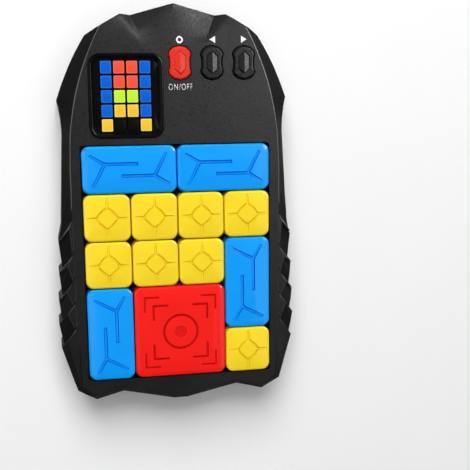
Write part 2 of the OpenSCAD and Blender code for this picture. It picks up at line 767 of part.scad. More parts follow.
module batteries() {
  for (i = [0:2]) at_board() translate([(i - 1) * battery_pitch, bay_y, battery_z])
    rotate([-90 * battery_way(i), 0, 0]) {
      color([0.2, 0.2, 0.22]) translate([0, 0, stud_end - stud_length - battery_length])
        cylinder(r = battery_radius, h = battery_length);
      color(steel_grey) translate([0, 0, stud_end - stud_length - join])
        cylinder(r = stud_radius, h = stud_length + join);
    }
}

// A coil of round wire from one contact plate to the flat end of its battery
turn_steps = 8;
coil_steps = turn_steps * spring_turns;
coil_sides = 6;
coil_taper = 0.25;
coil_space = 0.05;
coil_length = spring_room - 2 * (spring_wire + coil_space);
function coil_point(i) = let (a = 360 * i / turn_steps,
    r = spring_radius * (1 - coil_taper * i / coil_steps))
  [r * cos(a), r * sin(a), spring_wire + coil_space + coil_length * i / coil_steps];
coil_gap = coil_length / spring_turns - 2 * spring_wire;
echo(coil_gap = coil_gap);

module coil() {
  polyhedron(
    points = [for (i = [0:coil_steps])
      let (c = coil_point(i), a = 360 * i / turn_steps, out = [cos(a), sin(a), 0])
      for (j = [0:coil_sides - 1]) let (b = 360 * j / coil_sides)
        c + spring_wire * (out * cos(b) + [0, 0, sin(b)])],
    faces = concat(
      [[for (j = [0:coil_sides - 1]) j]],
      [[for (j = [coil_sides - 1:-1:0]) coil_steps * coil_sides + j]],
      [for (i = [0:coil_steps - 1], j = [0:coil_sides - 1])
        let (p = i * coil_sides + j, q = i * coil_sides + (j + 1) % coil_sides)
        each [[p, p + coil_sides, q + coil_sides], [p, q + coil_sides, q]]]));
}

module battery_springs() {
  color(steel_grey) at_board() for (i = [0:2])
    translate([(i - 1) * battery_pitch, bay_y - battery_way(i) * stud_end, battery_z])
      rotate([-90 * battery_way(i), 0, 0]) coil();
}

module battery_contacts() {
  tail = 1.6;
  color(steel_grey) at_board() for (i = [0:2], s = [-1, 1])
    translate([(i - 1) * battery_pitch, bay_y + s * (bay_half_l - contact_thickness / 2), 0]) {
      translate([0, 0, battery_z]) cube([contact_size, contact_thickness, contact_size], center = true);
      translate([-tail / 2, -contact_thickness / 2, battery_z])
        cube([tail, contact_thickness, board_z - battery_z]);
    }
}

// Tiles
groove_top = 3;
base_slip = 0.1;

module tile_body(nx, ny) {
  w = nx * cell_pitch - tile_gap;
  l = ny * cell_pitch - tile_gap;
  bend_w = (pow(w / 2, 2) + pow(tile_crown, 2)) / (2 * tile_crown);
  bend_l = (pow(l / 2, 2) + pow(tile_crown, 2)) / (2 * tile_crown);
  difference() {
    intersection() {
      linear_extrude(tile_height) rounded(w, l, tile_corner);
      translate([0, 0, tile_height - bend_w]) rotate([90, 0, 0])
        cylinder(r = bend_w, h = 2 * l, center = true, $fn = 240);
      translate([0, 0, tile_height - bend_l]) rotate([0, 90, 0])
        cylinder(r = bend_l, h = 2 * w, center = true, $fn = 240);
    }
    translate([0, 0, -cut]) linear_extrude(tile_height - tile_top + cut)
      rounded(w - 2 * tile_wall, l - 2 * tile_wall, tile_corner - tile_wall);
    translate([0, 0, tile_height - groove_depth]) children();
  }
}

module groove(p, q) {
  d = q - p;
  translate([p[0], p[1], 0]) rotate(atan2(d[1], d[0]))
    translate([-groove_width / 2, -groove_width / 2, 0])
      cube([norm(d) + groove_width, groove_width, groove_top]);
}

module yellow_grooves() {
  tip = 0.2375 * cell_pitch;
  end = 0.45 * cell_pitch;
  for (a = [0:90:270]) rotate(a) {
    groove([tip, 0], [0, tip]);
    groove([tip, 0], [end, 0]);
  }
}

module blue_grooves() {
  fork = cell_pitch * [-0.52, 0.125];
  for (a = [0, 180]) rotate(a) {
    groove(fork, cell_pitch * [-0.82, 0.3]);
    groove(fork, cell_pitch * [-0.765, -0.335]);
    groove(fork, cell_pitch * [0.16, 0.125]);
  }
}

module red_grooves() {
  circle_radius = 0.365 * cell_pitch;
  dot_radius = 0.12 * cell_pitch;
  arm = 0.315 * cell_pitch;
  ring(circle_radius + groove_width / 2, circle_radius - groove_width / 2, groove_top);
  cylinder(r = dot_radius, h = groove_top);
  for (a = [0:90:270], c = cell_pitch * [0.77, 0.585]) rotate(a) {
    groove([c, c], [c - arm, c]);
    groove([c, c], [c, c - arm]);
  }
}

module tile_base(nx, ny) {
  edge = tile_gap + 2 * (tile_wall + base_slip);
  w = nx * cell_pitch - edge;
  l = ny * cell_pitch - edge;
  translate([0, 0, base_slip]) linear_extrude(base_thickness) rounded(w, l, tile_corner - tile_wall);
}

module tile_magnets(nx, ny) {
  for (i = [0:nx - 1], j = [0:ny - 1])
    translate([(i - (nx - 1) / 2) * cell_pitch, (j - (ny - 1) / 2) * cell_pitch,
        base_slip + base_thickness])
      cylinder(r = magnet_radius, h = magnet_height);
}

// Places of the tiles, as column and row of their middle, and how far each is turned
yellow_cells = [[0, 1], [1, 1], [2, 1], [3, 1], [0, 2], [1, 2], [2, 2], [3, 4]];
blue_cells = [[0.5, 0, 0], [2.5, 0, 0], [3, 2.5, -90], [0, 3.5, -90]];

module on_yellow(i) {
  c = yellow_cells[i - 1];
  at_board() translate(cell_place(c[0], c[1]) + [0, 0, tray_z]) children();
}

module on_blue(i) {
  c = blue_cells[i - 1];
  at_board() translate(cell_place(c[0], c[1]) + [0, 0, tray_z]) rotate(c[2]) children();
}

module on_red() {
  at_board() translate(cell_place(1.5, 3.5) + [0, 0, tray_z]) children();
}

module yellow_tile(i) {
  color(tile_yellow) on_yellow(i) tile_body(1, 1) yellow_grooves();
}

module blue_tile(i) {
  color(tile_blue) on_blue(i) tile_body(2, 1) blue_grooves();
}

module red_tile() {
  color(tile_red) on_red() tile_body(2, 2) red_grooves();
}

module yellow_base(i) {
  color(tile_yellow) on_yellow(i) tile_base(1, 1);
}

module blue_base(i) {
  color(tile_blue) on_blue(i) tile_base(2, 1);
}

module red_base() {
  color(tile_red) on_red() tile_base(2, 2);
}

module yellow_magnet(i) {
  color(steel_grey) on_yellow(i) tile_magnets(1, 1);
}

module blue_magnets(i) {
  color(steel_grey) on_blue(i) tile_magnets(2, 1);
}

module red_magnets() {
  color(steel_grey) on_red() tile_magnets(2, 2);
}

front_housing();
rear_housing();
battery_door();
door_screw();
case_screws();
power_button();
previous_button();
next_button();
rubber_keypad();
display_bezel();
light_grid();
display_pixels();
display_leds();
main_board();
controller_chip();
hall_sensors();
keeper_plate();
speaker();
batteries();
battery_springs();
battery_contacts();
yellow_tile(1);  // yellow_tile_1
yellow_tile(2);  // yellow_tile_2
yellow_tile(3);  // yellow_tile_3
yellow_tile(4);  // yellow_tile_4
yellow_tile(5);  // yellow_tile_5
yellow_tile(6);  // yellow_tile_6
yellow_tile(7);  // yellow_tile_7
yellow_tile(8);  // yellow_tile_8
blue_tile(1);  // blue_tile_1
blue_tile(2);  // blue_tile_2
blue_tile(3);  // blue_tile_3
blue_tile(4);  // blue_tile_4
red_tile();
yellow_base(1);  // yellow_base_1
yellow_base(2);  // yellow_base_2
yellow_base(3);  // yellow_base_3
yellow_base(4);  // yellow_base_4
yellow_base(5);  // yellow_base_5
yellow_base(6);  // yellow_base_6
yellow_base(7);  // yellow_base_7
yellow_base(8);  // yellow_base_8
blue_base(1);  // blue_base_1
blue_base(2);  // blue_base_2
blue_base(3);  // blue_base_3
blue_base(4);  // blue_base_4
red_base();
yellow_magnet(1);  // yellow_magnet_1
yellow_magnet(2);  // yellow_magnet_2
yellow_magnet(3);  // yellow_magnet_3
yellow_magnet(4);  // yellow_magnet_4
yellow_magnet(5);  // yellow_magnet_5
yellow_magnet(6);  // yellow_magnet_6
yellow_magnet(7);  // yellow_magnet_7
yellow_magnet(8);  // yellow_magnet_8
blue_magnets(1);  // blue_magnets_1
blue_magnets(2);  // blue_magnets_2
blue_magnets(3);  // blue_magnets_3
blue_magnets(4);  // blue_magnets_4
red_magnets();
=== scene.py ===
# %% [markdown]
# # A handheld sliding tile puzzle
# The construction model already has every part of this console in its right place and size. This lesson
# loads it as a fixed frame and then dresses it: soft tile edges, cut lines, bevelled creases, printed signs,
# lit squares and the plastics themselves. A length on the console is a number of millimetres times MM, and
# only the studio around it is laid out in metres.

# %% Load the construction model
import math

import bmesh
import bpy
from mathutils import Matrix, Vector


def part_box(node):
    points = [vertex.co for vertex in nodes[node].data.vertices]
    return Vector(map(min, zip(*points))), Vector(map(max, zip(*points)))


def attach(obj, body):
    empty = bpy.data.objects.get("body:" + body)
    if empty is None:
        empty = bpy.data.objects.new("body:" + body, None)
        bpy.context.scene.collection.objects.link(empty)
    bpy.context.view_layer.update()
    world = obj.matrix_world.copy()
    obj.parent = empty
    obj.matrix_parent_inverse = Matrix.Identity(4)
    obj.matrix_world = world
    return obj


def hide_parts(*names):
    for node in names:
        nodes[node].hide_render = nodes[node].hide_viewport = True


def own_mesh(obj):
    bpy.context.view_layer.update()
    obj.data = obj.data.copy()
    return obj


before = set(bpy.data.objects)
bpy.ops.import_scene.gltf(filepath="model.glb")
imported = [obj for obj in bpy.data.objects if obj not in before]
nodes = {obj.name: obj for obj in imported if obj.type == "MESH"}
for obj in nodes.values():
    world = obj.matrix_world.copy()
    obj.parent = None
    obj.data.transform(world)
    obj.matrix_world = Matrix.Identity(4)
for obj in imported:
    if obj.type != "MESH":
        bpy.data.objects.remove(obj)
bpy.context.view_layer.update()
MM = 0.001

# %% [markdown]
# ## The camera
# The console was photographed from above, a little from the left, so its sides converge slightly. A camera
# is placed with a matrix: its columns are the camera's right, up and backward directions. The small
# lens shift keeps the console left of the middle, where the photograph has it.

# %% Place the camera
IMAGE_SIZE = 470
FOCAL_PIXELS = 821
SENSOR = 36
LENS_SHIFT = 0.089
EYE = Vector((-52.9, 31.0, 368.8)) * MM
LOOK = Vector((0.1664, -0.1708, -0.9711)).normalized()
UPWARD = Vector((0.0472, 0.9851, -0.1652))

bpy.ops.object.select_all(action="DESELECT")
bpy.ops.object.camera_add()
camera = bpy.context.object
right = LOOK.cross(UPWARD).normalized()
up = right.cross(LOOK)
camera.matrix_world = Matrix.Translation(EYE) @ Matrix((right, up, -LOOK)).transposed().to_4x4()
camera.data.sensor_width = SENSOR
camera.data.lens = SENSOR * FOCAL_PIXELS / IMAGE_SIZE
camera.data.shift_x = camera.data.shift_y = LENS_SHIFT
camera.data.clip_start = 10 * MM
bpy.context.scene.camera = camera
print("camera lens", round(camera.data.lens, 1), "mm")

# %% [markdown]
# ## Sums with sockets
# Node trees get long when every sum is a Math node made by hand. The class below wraps a socket, so that
# `1 - mask * 0.5` adds the Math nodes by itself. Its method `node` adds any other kind of node from a type,
# its settings and the values or links of its sockets.

# %% A class for shader sums
def fill_sockets(target, sockets):
    """Sets or links the inputs of a node."""
    for key, value in sockets.items():
        if isinstance(value, Wire):
            value.tree.links.new(value.socket, target.inputs[key])
        else:
            target.inputs[key].default_value = value


class Wire:
    """One socket of a node tree that can be used in Python sums."""

    def __init__(self, tree, socket=None):
        self.tree = tree
        self.socket = socket

    def node(self, kind, settings=None, sockets=None, out=0):
        made = self.tree.nodes.new(kind)
        for key, value in (settings or {}).items():
            setattr(made, key, value)
        fill_sockets(made, sockets or {})
        return Wire(self.tree, made.outputs[out])

    def sum(self, operation, *values):
        return self.node("ShaderNodeMath", {"operation": operation}, dict(enumerate(values)))

    def __add__(self, other):
        return self.sum("ADD", self, other)

    def __sub__(self, other):
        return self.sum("SUBTRACT", self, other)

    def __rsub__(self, other):
        return self.sum("SUBTRACT", other, self)

    def __mul__(self, other):
        return self.sum("MULTIPLY", self, other)

    __radd__ = __add__
    __rmul__ = __mul__


print("shader sums are ready")

# %% [markdown]
# Every finish below is put together from the same few things: the place on the piece, cloudy noise, marks
# that were written on the piece's mesh, and blends between two colours.

# %% Building stones of the finishes
def new_finish(name):
    """A new material, its socket maker and its shader."""
    material = bpy.data.materials.new(name)
    material.use_nodes = True
    return material, Wire(material.node_tree), material.node_tree.nodes["Principled BSDF"]


def place(wire, stretch=(1, 1, 1)):
    """The point on the piece, in metres, stretched along its axes."""
    spot = wire.node("ShaderNodeTexCoord", out="Object")
    return wire.node("ShaderNodeMapping", {}, {"Vector": spot, "Scale": stretch})


def grain(wire, spot, size, detail=2.0):
    """Cloudy noise between 0 and 1 whose grains are about one size across."""
    return wire.node("ShaderNodeTexNoise", {}, {"Vector": spot, "Scale": 1 / size, "Detail": detail})


def marked(wire, name):
    """The number that a mark of this name has on the mesh, or 0 where there is none."""
    return wire.node("ShaderNodeAttribute", {"attribute_name": name}, out="Fac")


def soft_step(wire, value, low, high, start=0.0, end=1.0):
    """Goes softly from start to end while the value goes from low to high."""
    return wire.node("ShaderNodeMapRange", {"interpolation_type": "SMOOTHSTEP"},
                     {"Value": value, "From Min": low, "From Max": high, "To Min": start, "To Max": end})


def blend_colours(wire, mask, first, second):
    """One colour where the mask is 0 and another where it is 1, each as three numbers or a socket."""
    ends = [end if isinstance(end, Wire) else (*end, 1) for end in (first, second)]
    # A Mix node has its colours in sockets 6 and 7, and the blended colour comes out of socket 2.
    return wire.node("ShaderNodeMix", {"data_type": "RGBA"}, {0: mask, 6: ends[0], 7: ends[1]}, out=2)


def bumps(wire, height, depth):
    """A normal that makes the height look this deep."""
    return wire.node("ShaderNodeBump", {}, {"Height": height, "Distance": depth, "Strength": 1.0})


print("building stones of the finishes are ready")

# %% [markdown]
# ## Floor and light
# The console lies on white paper in a soft studio. Far from the console, where the lamps no longer reach,
# the paper glows by itself, so that it stays white up to the horizon. The world is a white surround with a
# dark ceiling: the surround makes the pale background, and the dark ceiling keeps black plastic black,
# because a face that looks up mirrors the ceiling. A dark flag in front keeps the lower edge of the console
# dark too. A large lamp behind the peak lights everything and lays a soft shadow below the console, and a
# wider one overhead fills that shadow. Two bright cards and two dim strips work only in reflections: the
# cards draw the grey sheen over the deck and thin light lines along its creases, beside the highlight that
# the shell's finish paints there, and the strips brighten the sloping ends of the tiles.

# %% Floor
FLOOR_SIZE = 8.0
FLOOR_DROP = 0.2 * MM
GLOW_START, GLOW_FULL = 0.5, 1.2

bpy.ops.object.select_all(action="DESELECT")
bpy.ops.mesh.primitive_plane_add(size=FLOOR_SIZE, location=(0, 0, -FLOOR_DROP))
floor = bpy.context.object
floor.name = "floor"
paper, wire, shader = new_finish("white_paper")
cloud = grain(wire, place(wire), 40 * MM)
distance = wire.node("ShaderNodeVectorMath", {"operation": "LENGTH"}, {0: place(wire)}, out="Value")
far = soft_step(wire, distance, GLOW_START, GLOW_FULL)
near_paper = blend_colours(wire, cloud, (0.93, 0.93, 0.93), (0.95, 0.95, 0.95))
fill_sockets(shader, {
    "Base Color": blend_colours(wire, far, near_paper, (0, 0, 0)),
    "Emission Color": blend_colours(wire, far, (0, 0, 0), (0.9, 0.9, 0.9)),
    "Emission Strength": 1.0, "Roughness": 0.9, "Specular IOR Level": 0.0})
floor.data.materials.append(paper)
print("floor is white paper that glows from", GLOW_START, "m on")

# %% World
world = bpy.data.worlds.new("studio")
bpy.context.scene.world = world
world.use_nodes = True
sky = Wire(world.node_tree)
direction = sky.node("ShaderNodeTexCoord", out="Generated")
rise = sky.node("ShaderNodeSeparateXYZ", {}, {"Vector": direction}, out="Z")
away = sky.node("ShaderNodeSeparateXYZ", {}, {"Vector": direction}, out="Y")
surround = soft_step(sky, rise, 0.06, 0.3, 0.9, 0.08)
flag = soft_step(sky, away, -0.7, 0.1, 0.25, 1.0)
fill_sockets(world.node_tree.nodes["Background"], {"Color": (1, 1, 1, 1), "Strength": surround * flag})
bpy.context.scene.view_settings.view_transform = "Standard"
print("a white surround, a dark ceiling and a flag")

# %% Lamps
def soft_lamp(name, spot, size, watts, left_out):
    """A flat lamp that faces the console and is left out of its reflections or of its light."""
    bpy.ops.object.light_add(type="AREA", location=spot)
    lamp = bpy.context.object
    lamp.name = name
    lamp.rotation_euler = (-Vector(spot)).to_track_quat("-Z", "Y").to_euler()
    lamp.data.shape = "RECTANGLE"
    lamp.data.size, lamp.data.size_y = size
    lamp.data.energy = watts
    setattr(lamp, left_out, False)


for lamp in (("key_lamp", (-0.15, 0.85, 0.90), (0.8, 0.8), 15.5, "visible_glossy"),
             ("fill_lamp", (0, 0, 1.3), (1.6, 1.6), 7.4, "visible_glossy"),
             ("right_card", (0.59, 0.38, 0.75), (0.4, 0.4), 20.5, "visible_diffuse"),
             ("left_card", (-0.60, 0.10, 0.75), (0.6, 0.6), 2.5, "visible_diffuse"),
             ("right_strip", (0.54, 0, 0.8), (1.2, 0.4), 1.6, "visible_diffuse"),
             ("left_strip", (-0.26, 0, 0.95), (1.2, 0.16), 0.6, "visible_diffuse")):
    soft_lamp(*lamp)
print("two lamps, two cards and two strips")

# %% [markdown]
# ## Black shell plastic
# The housings are moulded in black plastic with a spark-eroded texture: a leathery grain of about a
# millimetre with tiny pits in it, which breaks the shine into a soft grey sheen. Noise of both sizes makes
# the bump and varies the roughness, and a wide noise clouds the black. Along the raised creases a lighter
# grey is painted in as a highlight, and the finish is smoother there: a mark on the mesh, written when the
# creases are bevelled, tells the finish where they are, and the wide noise varies the painted highlight. A
# second mark makes the folds of the peak rougher. The sides have a finish of their own with less shine,
# because they would mirror the white floor.

# %% Shell plastics
def textured_plastic(name, dark, light, painted_highlight, rough, depth, shine=0.2):
    """A grained plastic between two shades, with a lighter third shade painted along marked creases as a
    highlight.
    """
    material, wire, shader = new_finish(name)
    spot = place(wire)
    pits = grain(wire, spot, 0.3 * MM)
    leather = grain(wire, spot, 0.9 * MM, 3.0)
    tone_and_highlight_cloud = grain(wire, spot, 14 * MM, 4.0)
    crease = marked(wire, "crease")
    steep = marked(wire, "steep")
    face = blend_colours(wire, pits * 0.6 + tone_and_highlight_cloud * 0.4, dark, light)
    uneven = (tone_and_highlight_cloud - 0.5) * 0.16 + (pits - 0.5) * 0.1 + (leather - 0.5) * 0.5
    fill_sockets(shader, {
        # The crease mark paints a lighter grey along the creases as a highlight, varied by the wide cloud.
        "Base Color": blend_colours(wire, crease * (0.5 + tone_and_highlight_cloud), face, painted_highlight),
        "Roughness": rough + uneven - crease * 0.12 + steep * 0.3,
        "Normal": bumps(wire, pits + leather * 2.5, depth),
        "Specular IOR Level": shine})
    return material


# The third colour of each plastic is the highlight painted along its marked creases.
shell_plastic = textured_plastic("shell_plastic", (0.003, 0.003, 0.0035), (0.007, 0.007, 0.0075),
                                 (0.090, 0.090, 0.094), 0.45, 0.02 * MM)
side_plastic = textured_plastic("side_plastic", (0.003, 0.003, 0.0035), (0.007, 0.007, 0.0075),
                                (0.060, 0.060, 0.063), 0.55, 0.02 * MM, 0.06)
key_plastic = textured_plastic("key_plastic", (0.004, 0.004, 0.0045), (0.008, 0.008, 0.0085),
                               (0.060, 0.060, 0.062), 0.34, 0.008 * MM)
power_plastic = textured_plastic("power_plastic", (0.68, 0.024, 0.012), (0.77, 0.034, 0.018),
                                 (0.85, 0.090, 0.070), 0.36, 0.006 * MM, 0.08)
print("shell, side, key and power plastics")

# %% [markdown]
# ## Tile plastic
# The tiles are solid-coloured plastic with a satin gloss. The colour drifts by a few percent over each tile,
# fine rubbing marks vary the gloss, and very shallow waves keep the highlights from looking like glass. The
# cut lines get a deeper colour as painted shade, because light dies in them; a mark on the mesh, written
# when the lines are cut, tells the finish where they are and how much shade to paint.

# %% Tile plastics
def tile_plastic(name, colour, line):
    """A satin plastic in one colour, with a darker one painted in its cut lines as shade."""
    material, wire, shader = new_finish(name)
    spot = place(wire)
    drift = grain(wire, spot, 9 * MM, 3.0)
    rub = grain(wire, place(wire, (1, 0.15, 1)), 0.5 * MM, 3.0)
    waves = grain(wire, spot, 0.6 * MM)
    cut = marked(wire, "cut_line_shade")
    face = blend_colours(wire, drift, tuple(0.94 * c for c in colour), colour)
    fill_sockets(shader, {
        # The cut lines get the darker colour as painted shade.
        "Base Color": blend_colours(wire, cut, face, line),
        "Roughness": 0.16 + (rub - 0.5) * 0.08 + (drift - 0.5) * 0.06,
        "Normal": bumps(wire, waves, 0.004 * MM),
        "Specular IOR Level": 0.3})
    return material


# The second colour of each plastic is the shade painted into its cut lines.
yellow_plastic = tile_plastic("yellow_plastic", (0.985, 0.722, 0.020), (0.80, 0.515, 0.007))
blue_plastic = tile_plastic("blue_plastic", (0.0005, 0.345, 0.985), (0.0005, 0.100, 0.660))
red_plastic = tile_plastic("red_plastic", (0.98, 0.011, 0.008), (0.58, 0.0015, 0.0008))
print("three tile plastics")

# %% [markdown]
# ## Display finishes
# The display frame is polished black plastic, with faint wiping marks. The squares behind it are clear caps
# lit from below: the top of each glows in its own colour, unevenly and with a fine frosted grain, and its
# bevelled rim is paler, because light leaks out there. A mark on the mesh is 0 on the dark sides, 1 on the
# top and 2 on the rim. An unlit cap is nearly black.

# %% Display finishes
def gloss_black():
    """Polished black plastic with faint wiping marks."""
    material, wire, shader = new_finish("gloss_black")
    wipe = grain(wire, place(wire, (0.2, 1, 1)), 1.5 * MM, 4.0)
    fill_sockets(shader, {
        "Base Color": blend_colours(wire, wipe, (0.001, 0.001, 0.0012), (0.003, 0.003, 0.0035)),
        "Roughness": 0.20 + wipe * 0.08,
        "Specular IOR Level": 0.10})
    return material


def lit_cap(name, colour, rim):
    """A clear cap that glows in one colour, with a paler one on its rim."""
    material, wire, shader = new_finish(name)
    light = marked(wire, "light")
    frost = grain(wire, place(wire), 0.25 * MM)
    patch = grain(wire, place(wire), 3 * MM)
    deep = tuple(0.82 * c for c in colour)
    skin = tuple(0.3 * c for c in colour)
    middle = blend_colours(wire, patch * 0.7 + frost * 0.3, deep, colour)
    upper = blend_colours(wire, light - 1, middle, rim)
    fill_sockets(shader, {
        "Base Color": blend_colours(wire, frost, tuple(0.8 * c for c in skin), skin),
        "Emission Color": blend_colours(wire, light, (0, 0, 0), upper),
        "Emission Strength": 0.75,
        "Roughness": 0.35 + frost * 0.15,
        "Normal": bumps(wire, frost, 0.004 * MM),
        "Specular IOR Level": 0.02})
    return material


frame_gloss = gloss_black()
caps = {"b": lit_cap("blue_cap", (0.002, 0.130, 0.720), (0.030, 0.200, 0.760)),
        "r": lit_cap("red_cap", (1.0, 0.100, 0.045), (1.0, 0.180, 0.120)),
        "g": lit_cap("green_cap", (0.58, 0.95, 0.030), (0.74, 1.0, 0.190)),
        "y": lit_cap("yellow_cap", (1.0, 0.60, 0.030), (1.0, 0.780, 0.200)),
        "k": lit_cap("unlit_cap", (0.004, 0.004, 0.0045), (0.004, 0.004, 0.0045))}
print("display gloss and", len(caps), "caps")

# %% [markdown]
# ## Metals and inner parts
# The back shows screws, and the open battery bay shows cells, springs and plates. They get plain metal
# finishes with brushed streaks. The parts sealed inside still get a finish of their own, because the model
# can be taken apart.

# %% Metals and inner parts
def streaked(name, dark, light, rough, size, metal=0.0, streak=(1, 1, 1)):
    """A finish between two shades whose grain may be drawn out along one direction."""
    material, wire, shader = new_finish(name)
    lines = grain(wire, place(wire, streak), size, 4.0)
    fill_sockets(shader, {
        "Base Color": blend_colours(wire, lines, dark, light),
        "Roughness": rough + (lines - 0.5) * 0.2,
        "Metallic": metal,
        "Normal": bumps(wire, lines, 0.01 * MM)})
    return material


steel = streaked("plated_steel", (0.42, 0.43, 0.45), (0.66, 0.67, 0.69), 0.32, 0.4 * MM, 1.0, (1, 0.1, 1))
nickel = streaked("nickel", (0.55, 0.54, 0.52), (0.70, 0.69, 0.66), 0.24, 0.5 * MM, 1.0, (1, 1, 0.1))
sleeve = streaked("cell_sleeve", (0.010, 0.010, 0.012), (0.030, 0.030, 0.034), 0.30, 2 * MM,
                  streak=(1, 0.05, 1))
silicone = streaked("silicone", (0.32, 0.33, 0.35), (0.42, 0.43, 0.45), 0.65, 0.6 * MM)
resin = streaked("lamp_resin", (0.86, 0.82, 0.62), (0.94, 0.92, 0.80), 0.25, 0.8 * MM)
mask_green = streaked("solder_mask", (0.006, 0.070, 0.026), (0.014, 0.130, 0.050), 0.28, 1.2 * MM,
                      streak=(0.08, 1, 1))
epoxy = streaked("epoxy", (0.010, 0.010, 0.010), (0.022, 0.022, 0.022), 0.55, 0.3 * MM)
cone_black = streaked("speaker_can", (0.030, 0.030, 0.034), (0.060, 0.060, 0.066), 0.42, 0.7 * MM, 0.6)
print("eight inner finishes")

# %% [markdown]
# ## Modelling helpers
# Modelling by operators means: select some faces or edges, then run a tool on the selection. In a script the
# selection is made by a test on places or normals. These helpers deselect first, because a tool acts on all
# that is selected.

# %% Select and edit
def choose(piece):
    """Selects one object alone and makes it active."""
    bpy.ops.object.select_all(action="DESELECT")
    piece.select_set(True)
    bpy.context.view_layer.objects.active = piece


def start_edit(piece):
    """Opens one object in edit mode with nothing selected."""
    choose(piece)
    bpy.ops.object.mode_set(mode="EDIT")
    bpy.ops.mesh.select_all(action="DESELECT")


def end_edit():
    bpy.ops.object.mode_set(mode="OBJECT")


def pick(piece, kind, test):
    """Selects the vertices, edges or faces that pass a test, and returns how many there are."""
    bpy.ops.mesh.select_mode(type={"verts": "VERT", "edges": "EDGE", "faces": "FACE"}[kind])
    bpy.ops.mesh.select_all(action="DESELECT")
    shape = bmesh.from_edit_mesh(piece.data)
    shape.normal_update()
    chosen = [part for part in getattr(shape, kind) if test(part)]
    for part in chosen:
        part.select_set(True)
    bmesh.update_edit_mesh(piece.data)
    return len(chosen)


print("selections are ready")

# %% [markdown]
# The next helpers are the tests that come back again and again, and the tools that go with them. A hair is a
# length so small that heights closer than that count as the same.

# %% Tests and tools in edit mode
HAIR = 0.01 * MM
LEVEL = 0.9999


def lowest(edge):
    """The height of an edge's lower end."""
    return min(v.co.z for v in edge.verts)


def highest(edge):
    """The height of an edge's upper end."""
    return max(v.co.z for v in edge.verts)


def upright(edge):
    """True for an edge that climbs."""
    return highest(edge) - lowest(edge) > HAIR


def rim_at(height):
    """A test for the edges that lie at this height or above it."""
    return lambda edge: lowest(edge) > height - HAIR


def turn_angle(edge):
    """The angle between the two faces of an edge, positive where the edge stands out."""
    return math.degrees(edge.calc_face_angle_signed(0)) if len(edge.link_faces) == 2 else 0


def round_edges(piece, test, width, segments):
    """Bevels the edges that pass a test."""
    pick(piece, "edges", test)
    bpy.ops.mesh.bevel(offset=width, segments=segments, affect="EDGES")


def weld(reach):
    """Merges all points that lie closer together than this."""
    bpy.ops.mesh.select_all(action="SELECT")
    bpy.ops.mesh.remove_doubles(threshold=reach)


def face_outwards():
    """Turns all faces outwards."""
    bpy.ops.mesh.select_all(action="SELECT")
    bpy.ops.mesh.normals_make_consistent(inside=False)


print("heights within", HAIR / MM, "mm count as one")

# %% [markdown]
# A piece starts as a block or as a copy of a construction part, is cut and joined, and is seated in the end:
# it gets its finish, the body that it rides on, and the part that it stands for.

# %% Tools for whole objects
FLAT_ANGLE = 0.05


def settle():
    """Moves the place, turn and size of the selected object into its mesh."""
    bpy.ops.object.transform_apply(location=True, rotation=True, scale=True)


def block(name, size, middle):
    """A cube of this size, with its place in its mesh."""
    bpy.ops.object.select_all(action="DESELECT")
    bpy.ops.mesh.primitive_cube_add(size=1, location=middle)
    piece = bpy.context.object
    piece.name = name
    piece.scale = size
    settle()
    return piece


def copy_of(source, name):
    """A new object with a mesh of its own, copied from another object."""
    piece = bpy.data.objects.new(name, source.data.copy())
    bpy.context.scene.collection.objects.link(piece)
    return piece


def merged_copy(node, name, whole_faces=True):
    """A copy of a construction part with its triangles joined, and flat ones merged into whole faces."""
    piece = copy_of(nodes[node], name)
    start_edit(piece)
    weld(0.001 * MM)
    if whole_faces:
        bpy.ops.mesh.dissolve_limited(angle_limit=math.radians(FLAT_ANGLE))
    end_edit()
    print(name, "has", len(piece.data.polygons), "faces")
    return piece


def join(pieces, name):
    """Joins several objects into the first one."""
    choose(pieces[0])
    for piece in pieces:
        piece.select_set(True)
    bpy.ops.object.join()
    pieces[0].name = name
    return pieces[0]


print("faces that turn by less than", FLAT_ANGLE, "degrees count as flat")

# %% Modifiers, shading and seat
def apply_modifier(piece, kind, **settings):
    """Adds a modifier, sets it up and applies it."""
    choose(piece)
    modifier = piece.modifiers.new(kind, kind)
    for key, value in settings.items():
        setattr(modifier, key, value)
    bpy.ops.object.modifier_apply(modifier=modifier.name)


def carve(piece, cutter):
    """Takes the cutter's shape out of the piece and deletes the cutter."""
    apply_modifier(piece, "BOOLEAN", operation="DIFFERENCE", solver="EXACT", object=cutter, use_self=True)
    bpy.data.objects.remove(cutter)


def smooth(piece, degrees=32):
    """Smooth shading, with the edges sharper than an angle kept crisp."""
    choose(piece)
    bpy.ops.object.shade_smooth_by_angle(angle=math.radians(degrees))


def seat(piece, body, node, material):
    """Gives a finished piece its material and body, and hides the construction part that it stands for."""
    piece.data.materials.clear()
    piece.data.materials.append(material)
    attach(piece, body)
    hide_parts(node)


print("modelling helpers are ready")

# %% [markdown]
# ## The front housing
# The deck's creases catch thin lines of light, because a moulded edge is never quite sharp. The construction
# part has the right facets, so a merged copy of it is bevelled by a fifth of a millimetre along the edges
# that stand out on the face. The triangles of the flat deck are joined first, so that bevels run along it
# unbroken. Then come the creases of the deck's border and the shallow ones of the grips, which are marked for
# a painted highlight, and then the steep edges of the tray, the openings and the scales of the grips, of
# which only the scales get the painted highlight.

# %% Joined deck and softened edges
DECK = 23.9 * MM


def join_deck(piece):
    """Merges the triangles of the flat deck into whole faces."""
    start_edit(piece)
    count = pick(piece, "faces", lambda f: f.normal.z > LEVEL and f.calc_center_median().z > DECK)
    bpy.ops.mesh.dissolve_limited(angle_limit=math.radians(FLAT_ANGLE))
    end_edit()
    print("deck joined from", count, "triangles,", len(piece.data.polygons), "faces left")


